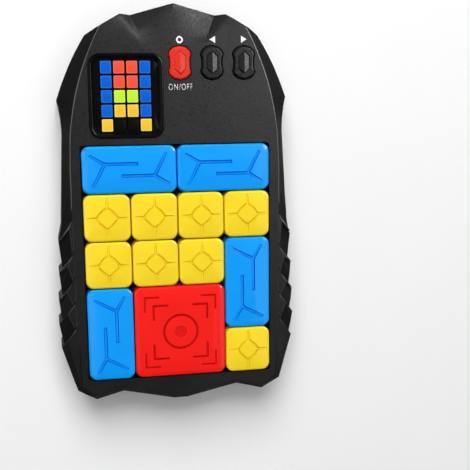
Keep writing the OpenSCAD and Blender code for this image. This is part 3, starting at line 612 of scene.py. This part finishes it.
def soften(piece, test, width, segments=2, painted_highlight=lambda spot: 0.0, clamp=True):
    """Bevels the edges that pass a test and writes down how much painted highlight each new face gets."""
    start_edit(piece)
    count = pick(piece, "edges", test)
    bpy.ops.mesh.bevel(offset=width, segments=segments, affect="EDGES", clamp_overlap=clamp)
    shape = bmesh.from_edit_mesh(piece.data)
    mark = shape.faces.layers.float.get("crease") or shape.faces.layers.float.new("crease")
    for face in shape.faces:
        if face.select:
            face[mark] = painted_highlight(face.calc_center_median())
    weld(0.002 * MM)
    end_edit()
    print(piece.name, "softened", count, "edges,", len(piece.data.polygons), "faces")


print("the deck is above", DECK / MM, "mm")

# %% Creases and steep edges
FACE_LEVEL = 15 * MM
SHORT_EDGE = 0.8 * MM
GRIP_START = -3 * MM
CHIN_START = -60 * MM
BORDER = 44.5 * MM
BORDER_BAND = 0.8 * MM
BORDER_RADIUS = 113.7 * MM
ARC_START, BORDER_END = 20 * MM, 76 * MM
BORDER_TURN, GRIP_TURN, STEEP_TURN = 9, 14, 50
# Scales this far from the middle get the painted highlight on their steep edges.
HIGHLIT_SCALES = (43 * MM, 48 * MM)


def at_border(spot):
    """True where the deck ends: straight beside the tray, then along an arc towards the peak."""
    rise = max(0, spot.y - ARC_START)
    border = BORDER - BORDER_RADIUS + math.sqrt(BORDER_RADIUS ** 2 - rise ** 2)
    return abs(abs(spot.x) - border) < BORDER_BAND and GRIP_START < spot.y < BORDER_END


def on_face(edge):
    return lowest(edge) > FACE_LEVEL and edge.calc_length() > SHORT_EDGE


def crease(edge):
    """A fold along the deck's border, or a shallow one on the grips."""
    ends = [v.co for v in edge.verts]
    if all(at_border(end) for end in ends):
        return lowest(edge) > FACE_LEVEL and turn_angle(edge) > BORDER_TURN
    return (all(end.y < GRIP_START for end in ends) and on_face(edge)
            and GRIP_TURN < turn_angle(edge) < STEEP_TURN)


def crease_highlight(spot):
    """How much highlight is painted on a crease: most on the border, a little on the grips, none below them.
    """
    if at_border(spot):
        return 1.0
    return 0.2 if spot.y > CHIN_START else 0.0


def steep_edge(edge):
    return on_face(edge) and turn_angle(edge) >= STEEP_TURN


def steep_highlight(spot):
    """Steep edges get the painted highlight only along the scales of the grips."""
    inner, outer = HIGHLIT_SCALES
    return 1.0 if inner < abs(spot.x) < outer and spot.y > CHIN_START else 0.0


print("steep edges turn by", STEEP_TURN, "degrees or more")

# %% [markdown]
# The peak above the buttons is a soft roof, whose slopes meet only along a ridge and two folds. The copy has
# it as narrow facets, so their shading is blended, and only the folds stay crisp. Points that lean towards
# the middle get the mark that makes the finish rougher, so that the folds don't flash. Faces that slope or
# stand up get the finish of the sides; on the peak only the steeper ones do, so that no slope of it changes
# halfway.

# %% Soft peak and dull sides
PEAK_START, PEAK_HALF, PEAK_FOOT = 66 * MM, 28 * MM, 20 * MM
PEAK_TURN = 16
FOLD_X, FOLD_Y = (12.3, 17.6), (67.5, 79.5)
RIDGE_BAND, FOLD_BAND = 0.3 * MM, 0.5 * MM
LEAN_START, LEAN_RANGE = 0.975, 0.08
SIDE_RISE, PEAK_RISE = 0.9, 0.7


def on_peak(spot):
    return spot.y > PEAK_START and spot.z > PEAK_FOOT and abs(spot.x) < PEAK_HALF


def on_fold(spot):
    """True on the ridge of the peak and on the two folds beside it."""
    fold = (FOLD_X[0] * MM
            + (spot.y - FOLD_Y[0] * MM) * (FOLD_X[1] - FOLD_X[0]) / (FOLD_Y[1] - FOLD_Y[0]))
    return abs(spot.x) < RIDGE_BAND or abs(abs(spot.x) - fold) < FOLD_BAND


def blend_peak(piece):
    """Shades the slopes of the peak as soft surfaces that meet only along its folds."""
    start_edit(piece)
    count = pick(piece, "edges", lambda e: all(on_peak(v.co) for v in e.verts)
                 and abs(turn_angle(e)) < PEAK_TURN and not all(on_fold(v.co) for v in e.verts))
    bpy.ops.mesh.mark_sharp(clear=True)
    end_edit()
    print("peak blended over", count, "edges")


def mark_folds(piece):
    """Writes how steeply each point of the peak leans towards the middle, where its folds are."""
    mark = piece.data.attributes.new("steep", "FLOAT", "POINT")
    for vertex in piece.data.vertices:
        if on_peak(vertex.co) and vertex.co.x * vertex.normal.x < 0:
            lean = max(0.0, LEAN_START - vertex.normal.z) / LEAN_RANGE
            mark.data[vertex.index].value = min(1.0, lean)


def dull_sides(piece):
    """Gives the faces that slope or stand up the finish of the sides, apart from creases with painted
    highlight.
    """
    piece.data.materials.append(side_plastic)
    painted_highlight = piece.data.attributes["crease"].data
    for face in piece.data.polygons:
        limit = PEAK_RISE if on_peak(face.center) else SIDE_RISE
        face.material_index = int(abs(face.normal.z) < limit and painted_highlight[face.index].value < 0.5)
    print(piece.name, "has", sum(face.material_index for face in piece.data.polygons), "dull faces")


print("the peak starts at", PEAK_START / MM, "mm")

# %% Front housing
front = merged_copy("front_housing", "front_shell", False)
join_deck(front)
soften(front, crease, 0.22 * MM, painted_highlight=crease_highlight, clamp=False)
soften(front, steep_edge, 0.2 * MM, painted_highlight=steep_highlight, clamp=False)
smooth(front, 4)
blend_peak(front)
mark_folds(front)
seat(front, "console", "front_housing", shell_plastic)
dull_sides(front)

# %% [markdown]
# ## Tiles
# Each tile is a block with round upright corners, a soft rim and a top that rises in three gentle steps to a
# flat middle. The pattern is cut into the top. A tile is modelled once for each size and then copied, each
# copy with its own mesh, because every tile can be lifted out by itself.

# %% Tile blank
PITCH = 20 * MM
GAP = 0.4 * MM
TILE_TOP = 8 * MM
EDGE_TOP = 7.35 * MM
TILE_CORNER = 3.2 * MM
RIM = 0.9 * MM
OUTER_STEP = (2.1 * MM, 0.30 * MM)
INNER_STEPS = ((2.6 * MM, 0.25 * MM), (1.8 * MM, 0.10 * MM))


def tile_size(across, along):
    """The length and breadth of a tile over some cells."""
    return across * PITCH - GAP, along * PITCH - GAP


def tile_blank(name, size):
    """A plain tile with its middle at the origin and its foot at zero."""
    tile = block(name, (*size, EDGE_TOP), (0, 0, EDGE_TOP / 2))
    start_edit(tile)
    round_edges(tile, upright, TILE_CORNER, 8)
    round_edges(tile, rim_at(EDGE_TOP), RIM, 4)
    pick(tile, "faces", lambda f: f.normal.z > LEVEL)
    bpy.ops.mesh.inset(thickness=OUTER_STEP[0], depth=OUTER_STEP[1])
    for x, y in ((-1, -1), (-1, 1), (1, -1), (1, 1)):
        pick(tile, "verts", lambda v: v.co.z > EDGE_TOP + HAIR and v.co.x * x > 0 and v.co.y * y > 0)
        bpy.ops.mesh.merge(type="CENTER")
    pick(tile, "faces", lambda f: f.normal.z > LEVEL)
    for inward, upward in INNER_STEPS:
        bpy.ops.mesh.inset(thickness=inward, depth=upward)
    end_edit()
    print(name, "blank:", len(tile.data.polygons), "faces")
    return tile


print("a small tile is", round(tile_size(1, 1)[0] / MM, 1), "mm wide")

# %% [markdown]
# ## Cut lines
# A cut line is a thin bar sunk into the top of the tile by a Boolean modifier. Its sides lean outwards a
# little, as in a mould, so that light reaches them. Bars that meet are joined first, so that one cut is
# enough. The small tile has a rounded diamond with four rays, the double tile two forked lines that face each
# other, and the large tile a ring, a dot and corner brackets.

# %% Straight lines
LINE_FLOOR = 7.3 * MM
CUTTER_TOP = 9 * MM


def bar(start, end, width, lean=0.25):
    """A cutter from start to end, in millimetres, that is this wide at the tile's top."""
    a, b = Vector((*start, 0)) * MM, Vector((*end, 0)) * MM
    height = CUTTER_TOP - LINE_FLOOR
    spread = (CUTTER_TOP - TILE_TOP) * lean
    length, breadth = (b - a).length + width * MM + 2 * spread, width * MM + 2 * spread
    cutter = block("bar", (length, breadth, height), (0, 0, LINE_FLOOR + height / 2))
    start_edit(cutter)
    pick(cutter, "faces", lambda f: f.normal.z < -LEVEL)
    drop = 2 * height * lean
    bpy.ops.transform.resize(value=((length - drop) / length, (breadth - drop) / breadth, 1),
                             center_override=(0, 0, LINE_FLOOR))
    end_edit()
    cutter.location = (a + b) / 2
    cutter.rotation_euler.z = math.atan2(b.y - a.y, b.x - a.x)
    settle()
    return cutter


def turned(point, quarter):
    """A point turned by quarter turns."""
    for _ in range(quarter):
        point = (-point[1], point[0])
    return point


def ray_lines():
    return [bar(turned((4.5, 0), quarter), turned((8.05, 0), quarter), 1.3, 0.35) for quarter in range(4)]


def fork_lines():
    bars = []
    for quarter in (0, 2):
        for end in ((-16.1, 5.8), (-15.1, -6.4), (2.8, 2.5)):
            bars.append(bar(turned((-10.4, 2.5), quarter), turned(end, quarter), 1.4, 0.5))
    return bars


def bracket_lines():
    bars = []
    for quarter in range(4):
        for corner in (15.4, 11.7):
            for end in ((corner - 6.0, corner), (corner, corner - 6.0)):
                bars.append(bar(turned((corner, corner), quarter), turned(end, quarter), 0.85))
    return bars


print("lines are cut down to", LINE_FLOOR / MM, "mm")

# %% [markdown]
# The diamond and the ring are bent lines, so their cutters are swept instead. The diamond starts as a circle
# of four points: its sides are pushed out and rounded, and the loop is then drawn through the four corners of
# the line's profile by extruding and resizing it. The ring is a profile spun round the tile's middle.

# %% Diamond
DIAMOND_FLOOR = 7.6 * MM
DIAMOND_TIP = 4.7 * MM
DIAMOND_LEAN = 0.8
DIAMOND_SWELL = 1.12
SIDE_ROUND, TIP_ROUND = 1.3 * MM, 0.6 * MM
HALF_LINE = 0.3 * MM


def rounded_diamond():
    """A cutter for the small tile: a diamond with swelling sides, drawn as a ring that opens upwards."""
    bottom, tip = DIAMOND_FLOOR, DIAMOND_TIP
    bpy.ops.object.select_all(action="DESELECT")
    bpy.ops.mesh.primitive_circle_add(radius=tip, vertices=4, location=(0, 0, bottom))
    diamond = bpy.context.object
    settle()
    start_edit(diamond)
    bpy.ops.mesh.select_all(action="SELECT")
    bpy.ops.mesh.subdivide(number_cuts=1)
    pick(diamond, "verts", lambda v: min(abs(v.co.x), abs(v.co.y)) > HAIR)
    bpy.ops.transform.resize(value=(DIAMOND_SWELL, DIAMOND_SWELL, 1), center_override=(0, 0, bottom))
    bpy.ops.mesh.bevel(offset=SIDE_ROUND, segments=3, affect="VERTICES")
    pick(diamond, "verts", lambda v: min(abs(v.co.x), abs(v.co.y)) < HAIR)
    bpy.ops.mesh.bevel(offset=TIP_ROUND, segments=3, affect="VERTICES")
    wide = HALF_LINE + (CUTTER_TOP - bottom) * DIAMOND_LEAN
    loops = ((tip + HALF_LINE, bottom), (tip - HALF_LINE, bottom),
             (tip - wide, CUTTER_TOP), (tip + wide, CUTTER_TOP))
    reach, level = tip, bottom
    bpy.ops.mesh.select_all(action="SELECT")
    for i, (next_reach, next_level) in enumerate(loops):
        if i > 0:
            bpy.ops.mesh.extrude_region_move()
        growth = next_reach / reach
        bpy.ops.transform.resize(value=(growth, growth, 1), center_override=(0, 0, level))
        bpy.ops.transform.translate(value=(0, 0, next_level - level))
        reach, level = next_reach, next_level
    pick(diamond, "edges", lambda e: len(e.link_faces) == 1)
    bpy.ops.mesh.bridge_edge_loops()
    face_outwards()
    end_edit()
    print("diamond cutter has", len(diamond.data.polygons), "faces")
    return diamond


print("the diamond is", round(2 * DIAMOND_TIP / MM, 1), "mm from tip to tip")

# %% Ring and dot
RING_RADIUS, RING_WIDTH = 7.3 * MM, 0.9 * MM
RING_TOP, RING_FOOT = 1.9, 0.5
SLAB = 1 * MM
DOT_FLOOR = LINE_FLOOR + 0.3 * MM
DOT_DEPTH = 1.5 * MM


def ring_and_dot():
    """Cutters for the large tile: a line's profile spun round a circle, and a shallow round pan."""
    height = CUTTER_TOP - LINE_FLOOR
    ring = block("ring", (RING_WIDTH, SLAB, height), (RING_RADIUS, 0, LINE_FLOOR + height / 2))
    start_edit(ring)
    pick(ring, "faces", lambda f: f.normal.y > -LEVEL)
    bpy.ops.mesh.delete(type="ONLY_FACE")
    pick(ring, "verts", lambda v: v.co.z > TILE_TOP)
    bpy.ops.transform.resize(value=(RING_TOP, 1, 1), center_override=(RING_RADIUS, 0, CUTTER_TOP))
    pick(ring, "verts", lambda v: v.co.z < TILE_TOP)
    bpy.ops.transform.resize(value=(RING_FOOT, 1, 1), center_override=(RING_RADIUS, 0, LINE_FLOOR))
    pick(ring, "verts", lambda v: not v.link_faces)
    bpy.ops.mesh.delete(type="VERT")
    pick(ring, "faces", lambda f: True)
    bpy.ops.mesh.delete(type="ONLY_FACE")
    bpy.ops.mesh.select_mode(type="VERT")
    bpy.ops.mesh.select_all(action="SELECT")
    bpy.ops.transform.translate(value=(0, SLAB / 2, 0))
    bpy.ops.mesh.spin(steps=72, angle=2 * math.pi, center=(0, 0, 0), axis=(0, 0, 1))
    weld(0.001 * MM)
    face_outwards()
    end_edit()
    bpy.ops.object.select_all(action="DESELECT")
    bpy.ops.mesh.primitive_cone_add(radius1=2.3 * MM, radius2=3.0 * MM, depth=DOT_DEPTH, vertices=48,
                                    location=(0, 0, DOT_FLOOR + DOT_DEPTH / 2))
    settle()
    return [ring, bpy.context.object]


print("the ring is", round(2 * RING_RADIUS / MM, 1), "mm across")

# %% [markdown]
# Below its top a tile is a hollow shell, so a rounded block is cut out from underneath. The closing plate and
# the magnets in there are construction parts. The faces of the cut lines are then marked with a number, which
# the tile's finish reads to paint them a deeper colour as shade: 1 on their sides and on narrow floors, and
# less on wide floors, which more light reaches.

# %% Finished tiles
WALL = 1.4 * MM
CAVITY = 5.8 * MM
BELOW = 1 * MM
LINE_SIDE = 0.93


def mark_lines(tile, reach, floor_shade):
    """Writes the mark that tells a cut line from the rest of the tile, and how much shade to paint there."""
    mark = tile.data.attributes.new("cut_line_shade", "FLOAT", "FACE")
    for face in tile.data.polygons:
        x, y, z = face.center
        if abs(x) > reach[0] or abs(y) > reach[1] or z < CAVITY + 0.5 * MM:
            continue
        if face.normal.z > LEVEL and z < TILE_TOP - 0.05 * MM:
            mark.data[face.index].value = floor_shade(z)
        elif face.normal.z < LINE_SIDE:
            mark.data[face.index].value = 1.0


def finished_tile(name, across, along, cutters, floor_shade):
    """A tile over some cells with its lines cut, its inside hollow and its lines marked for painted shade."""
    size = tile_size(across, along)
    tile = tile_blank(name, size)
    for cutter in cutters:
        carve(tile, cutter)
    hollow = block("hollow", (size[0] - 2 * WALL, size[1] - 2 * WALL, CAVITY + BELOW),
                   (0, 0, (CAVITY - BELOW) / 2))
    start_edit(hollow)
    round_edges(hollow, upright, TILE_CORNER - WALL, 5)
    end_edit()
    carve(tile, hollow)
    mark_lines(tile, (size[0] / 2 - RIM, size[1] / 2 - RIM), floor_shade)
    smooth(tile)
    apply_modifier(tile, "WEIGHTED_NORMAL", weight=60, keep_sharp=True)
    print(name, len(tile.data.polygons), "faces")
    return tile


between_floors = (LINE_FLOOR + DIAMOND_FLOOR) / 2
small_tile = finished_tile("small_tile", 1, 1, [rounded_diamond(), join(ray_lines(), "lines")],
                           lambda z: 1.0 if z > between_floors else 0.3)
double_tile = finished_tile("double_tile", 2, 1, [join(fork_lines(), "lines")], lambda z: 0.15)
large_tile = finished_tile("large_tile", 2, 2, [join(bracket_lines(), "lines"), *ring_and_dot()],
                           lambda z: 1.0 if z < between_floors else 0.45)

# %% [markdown]
# Every tile of the board is a copy that takes the place of its construction part. The part's box gives the
# middle and the foot, and the two double tiles that stand along the board are turned by a quarter.

# %% Lay the tiles on the board
def lay_tile(model, node, body, material, turn=0):
    """Puts a copy of a tile where its construction part is."""
    piece = copy_of(model, node + "_top")
    low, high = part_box(node)
    middle = (low + high) / 2
    piece.data.transform(Matrix.Translation((middle.x, middle.y, low.z)) @ Matrix.Rotation(turn, 4, "Z"))
    seat(piece, body, node, material)


for i in range(1, 9):
    lay_tile(small_tile, f"yellow_tile_{i}", f"yellow_{i}", yellow_plastic)
for i in range(1, 5):
    lay_tile(double_tile, f"blue_tile_{i}", f"blue_{i}", blue_plastic,
             0 if i < 3 else -math.pi / 2)
lay_tile(large_tile, "red_tile", "red", red_plastic)
for model in (small_tile, double_tile, large_tile):
    bpy.data.objects.remove(model)
print("thirteen tiles on the board")

# %% [markdown]
# ## Display
# The frame is a merged copy with a soft rim. Each lit square is a small cap with a bevelled top. One cap is
# modelled and copied to every place in the grid, with the colour that the puzzle shows there.

# %% Display frame
FRAME_FACE = 24.3 * MM

bezel = merged_copy("display_bezel", "display_frame")
soften(bezel, lambda e: highest(e) > FRAME_FACE and turn_angle(e) > 20, 0.3 * MM, 3, clamp=False)
smooth(bezel, 15)
seat(bezel, "console", "display_bezel", frame_gloss)

# %% Lit squares
CAP_SIZE = (4.5 * MM, 5.0 * MM)
CAP_STEP = (5.37 * MM, 5.85 * MM)
CAP_ROUND = 0.35 * MM
CAP_COLOURS = ("brrb", "brrb", "bggb", "byyb", "ykky")

low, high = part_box("display_pixels")
middle = (low + high) / 2
cap_model = block("cap", (*CAP_SIZE, high.z - low.z), (0, 0, (low.z + high.z) / 2))
start_edit(cap_model)
round_edges(cap_model, upright, CAP_ROUND, 3)
round_edges(cap_model, rim_at(high.z), CAP_ROUND, 3)
end_edit()
smooth(cap_model)
light = cap_model.data.attributes.new("light", "FLOAT", "FACE")
for face in cap_model.data.polygons:
    if face.normal.z > 0.1:
        light.data[face.index].value = 1.0 if face.normal.z > LEVEL else 2.0
for row, colours in enumerate(CAP_COLOURS):
    for column, colour in enumerate(colours):
        cap = copy_of(cap_model, f"cap_{row + 1}_{column + 1}")
        cap.data.transform(Matrix.Translation((middle.x + (column - 1.5) * CAP_STEP[0],
                                               middle.y + (2 - row) * CAP_STEP[1], 0)))
        seat(cap, "console", "display_pixels", caps[colour])
bpy.data.objects.remove(cap_model)
print("twenty caps")

# %% [markdown]
# ## Buttons
# Each button is a small shield with a raised, ridged hexagon for the finger. The construction parts have
# these facets, so merged copies are bevelled a little, as moulded keys are.

# %% Buttons
KEY_FACE = 22 * MM

for name, material, slot in (("power", power_plastic, "power_button"), ("previous", key_plastic, "shell"),
                             ("next", key_plastic, "shell")):
    key = merged_copy(name + "_button", name + "_cap")
    soften(key, lambda e: lowest(e) > KEY_FACE and turn_angle(e) > 8, 0.16 * MM)
    smooth(key, 5)
    seat(key, name + "_key", name + "_button", material)

# %% [markdown]
# ## Rubber keypad
# Under the buttons lies a sheet of silicone with a hollow dome for each key. A pressed key flattens its dome,
# which springs back. The sheet and the domes are separate pieces here, one dome under each key.

# %% Keypad sheet
SHEET = 0.8 * MM

low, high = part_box("rubber_keypad")
sheet_top = low.z + SHEET
sheet = block("keypad_sheet", (high.x - low.x, high.y - low.y, SHEET),
              ((low.x + high.x) / 2, (low.y + high.y) / 2, low.z + SHEET / 2))
start_edit(sheet)
round_edges(sheet, upright, 1.5 * MM, 5)
round_edges(sheet, rim_at(sheet_top), 0.15 * MM, 2)
end_edit()
smooth(sheet)
seat(sheet, "console", "rubber_keypad", silicone)
print("keypad sheet,", round(SHEET / MM, 2), "mm thick")

# %% Keypad domes
DOME_FOOT, DOME_HEAD = 4.4 * MM, 3.0 * MM

dome_height = high.z - sheet_top
for name in ("power", "previous", "next"):
    key_low, key_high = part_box(name + "_button")
    x, y = (key_low.x + key_high.x) / 2, (low.y + high.y) / 2
    bpy.ops.object.select_all(action="DESELECT")
    bpy.ops.mesh.primitive_cone_add(radius1=DOME_FOOT, radius2=DOME_HEAD, depth=dome_height, vertices=48,
                                    location=(x, y, sheet_top + dome_height / 2))
    dome = bpy.context.object
    dome.name = name + "_dome"
    settle()
    start_edit(dome)
    round_edges(dome, rim_at(sheet_top + dome_height), 0.4 * MM, 4)
    end_edit()
    smooth(dome)
    seat(dome, "console", "rubber_keypad", silicone)
    name + "_press"
    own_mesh(dome)
print("three domes,", round(dome_height / MM, 2), "mm high")

# %% [markdown]
# ## Printed signs
# White pad print marks the buttons: a ring for power, two arrows, and the plain words of a switch. A print is
# a very thin skin, so each sign starts flat above the deck, is dropped on to it by a Shrinkwrap modifier and
# gets a few hundredths of a millimetre of thickness.

# %% White print
SIGN_HEIGHT = 30 * MM
PRINT_LIFT = 0.015 * MM
PRINT_THICKNESS = 0.04 * MM

ink, wire, shader = new_finish("white_print")
speck = grain(wire, place(wire), 0.3 * MM)
fill_sockets(shader, {"Base Color": blend_colours(wire, speck, (0.80, 0.80, 0.80), (0.90, 0.90, 0.90)),
                      "Roughness": 0.45 + speck * 0.1})


def print_sign(piece, name):
    """Drops a flat sign on to the deck and makes it a thin printed skin."""
    piece.name = name
    apply_modifier(piece, "SHRINKWRAP", target=front, wrap_method="PROJECT", use_project_z=True,
                   use_negative_direction=True, use_positive_direction=False, offset=PRINT_LIFT)
    apply_modifier(piece, "SOLIDIFY", thickness=PRINT_THICKNESS, offset=1.0)
    piece.data.materials.clear()
    piece.data.materials.append(ink)
    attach(piece, "console")
    print(name, "printed with", len(piece.data.polygons), "faces")


print("print is", PRINT_THICKNESS / MM, "mm thick")

# %% Power ring
RING_SPOT = (2.3 * MM, 69.5 * MM, SIGN_HEIGHT)
RING_OUTSIDE = 1.45 * MM
RING_INSIDE = 0.52

bpy.ops.object.select_all(action="DESELECT")
bpy.ops.mesh.primitive_circle_add(radius=RING_OUTSIDE, vertices=40, location=RING_SPOT)
ring = bpy.context.object
settle()
start_edit(ring)
bpy.ops.mesh.select_all(action="SELECT")
bpy.ops.mesh.extrude_region_move()
bpy.ops.transform.resize(value=(RING_INSIDE, RING_INSIDE, 1), center_override=RING_SPOT)
face_outwards()
end_edit()
print_sign(ring, "power_sign")

# %% Arrows
ARROW_SIZE = (1.55 * MM, 1.62 * MM, 1)
ARROW_SHIFT = 0.42 * MM


def arrow(name, x, y, way):
    """A flat triangle that points left or right."""
    bpy.ops.object.select_all(action="DESELECT")
    bpy.ops.mesh.primitive_circle_add(radius=1.0, vertices=3, fill_type="NGON")
    piece = bpy.context.object
    piece.rotation_euler.z = -way * math.pi / 2
    settle()
    piece.scale = ARROW_SIZE
    piece.location = (x * MM - way * ARROW_SHIFT, y * MM, SIGN_HEIGHT)
    settle()
    print_sign(piece, name)


arrow("previous_sign", 16.0, 69.6, -1)
arrow("next_sign", 29.4, 69.7, 1)

# %% Switch words
WORDS_SIZE = (10 * MM, 2.6 * MM)

bpy.ops.object.select_all(action="DESELECT")
bpy.ops.object.text_add()
words = bpy.context.object
words.data.body = "ON/OFF"
words.data.align_x = "CENTER"
words.data.align_y = "CENTER"
words.data.size = 1.0
words.data.space_character = 1.25
words.data.offset = -0.009
bpy.ops.object.convert(target="MESH")
words = bpy.context.object
width = max(v.co.x for v in words.data.vertices) - min(v.co.x for v in words.data.vertices)
height = max(v.co.y for v in words.data.vertices) - min(v.co.y for v in words.data.vertices)
words.scale = (WORDS_SIZE[0] / width, WORDS_SIZE[1] / height, 1)
words.location = (2.4 * MM, 50.4 * MM, SIGN_HEIGHT)
settle()
print_sign(words, "switch_words")

# %% [markdown]
# ## The back
# The rear housing and the battery door are merged copies too, bevelled along the edges that a hand feels:
# the border of the back and the door's outline. The rear housing has the dull sides of the front one.

# %% Rear housing and door
BACK_LEVEL = 3 * MM

rear = merged_copy("rear_housing", "rear_shell")
soften(rear, lambda e: highest(e) < BACK_LEVEL and e.calc_length() > SHORT_EDGE and turn_angle(e) > 14,
       0.3 * MM)
smooth(rear, 6)
seat(rear, "console", "rear_housing", shell_plastic)
dull_sides(rear)
door = merged_copy("battery_door", "door_panel")
soften(door, lambda e: e.calc_length() > 0.5 * MM and turn_angle(e) > 40, 0.2 * MM)
smooth(door, 6)
seat(door, "door", "battery_door", shell_plastic)

# %% [markdown]
# ## Parts that keep their construction shape
# Screws, cells, springs, plates, the boards and the tiles' closing plates already have their real form, so
# they only get a finish.

# %% Finish the other parts
finishes = {"door_screw": steel, "case_screws": steel, "light_grid": epoxy, "display_leds": resin,
            "main_board": mask_green, "controller_chip": epoxy, "hall_sensors": epoxy, "keeper_plate": steel,
            "speaker": cone_black, "batteries": sleeve, "battery_springs": steel, "battery_contacts": steel,
            "red_base": red_plastic, "red_magnets": nickel}
finishes.update({f"yellow_base_{i}": yellow_plastic for i in range(1, 9)})
finishes.update({f"yellow_magnet_{i}": nickel for i in range(1, 9)})
finishes.update({f"blue_base_{i}": blue_plastic for i in range(1, 5)})
finishes.update({f"blue_magnets_{i}": nickel for i in range(1, 5)})
for node, material in finishes.items():
    for slot in nodes[node].material_slots:
        slot.material = material
print(len(finishes), "parts got a finish")
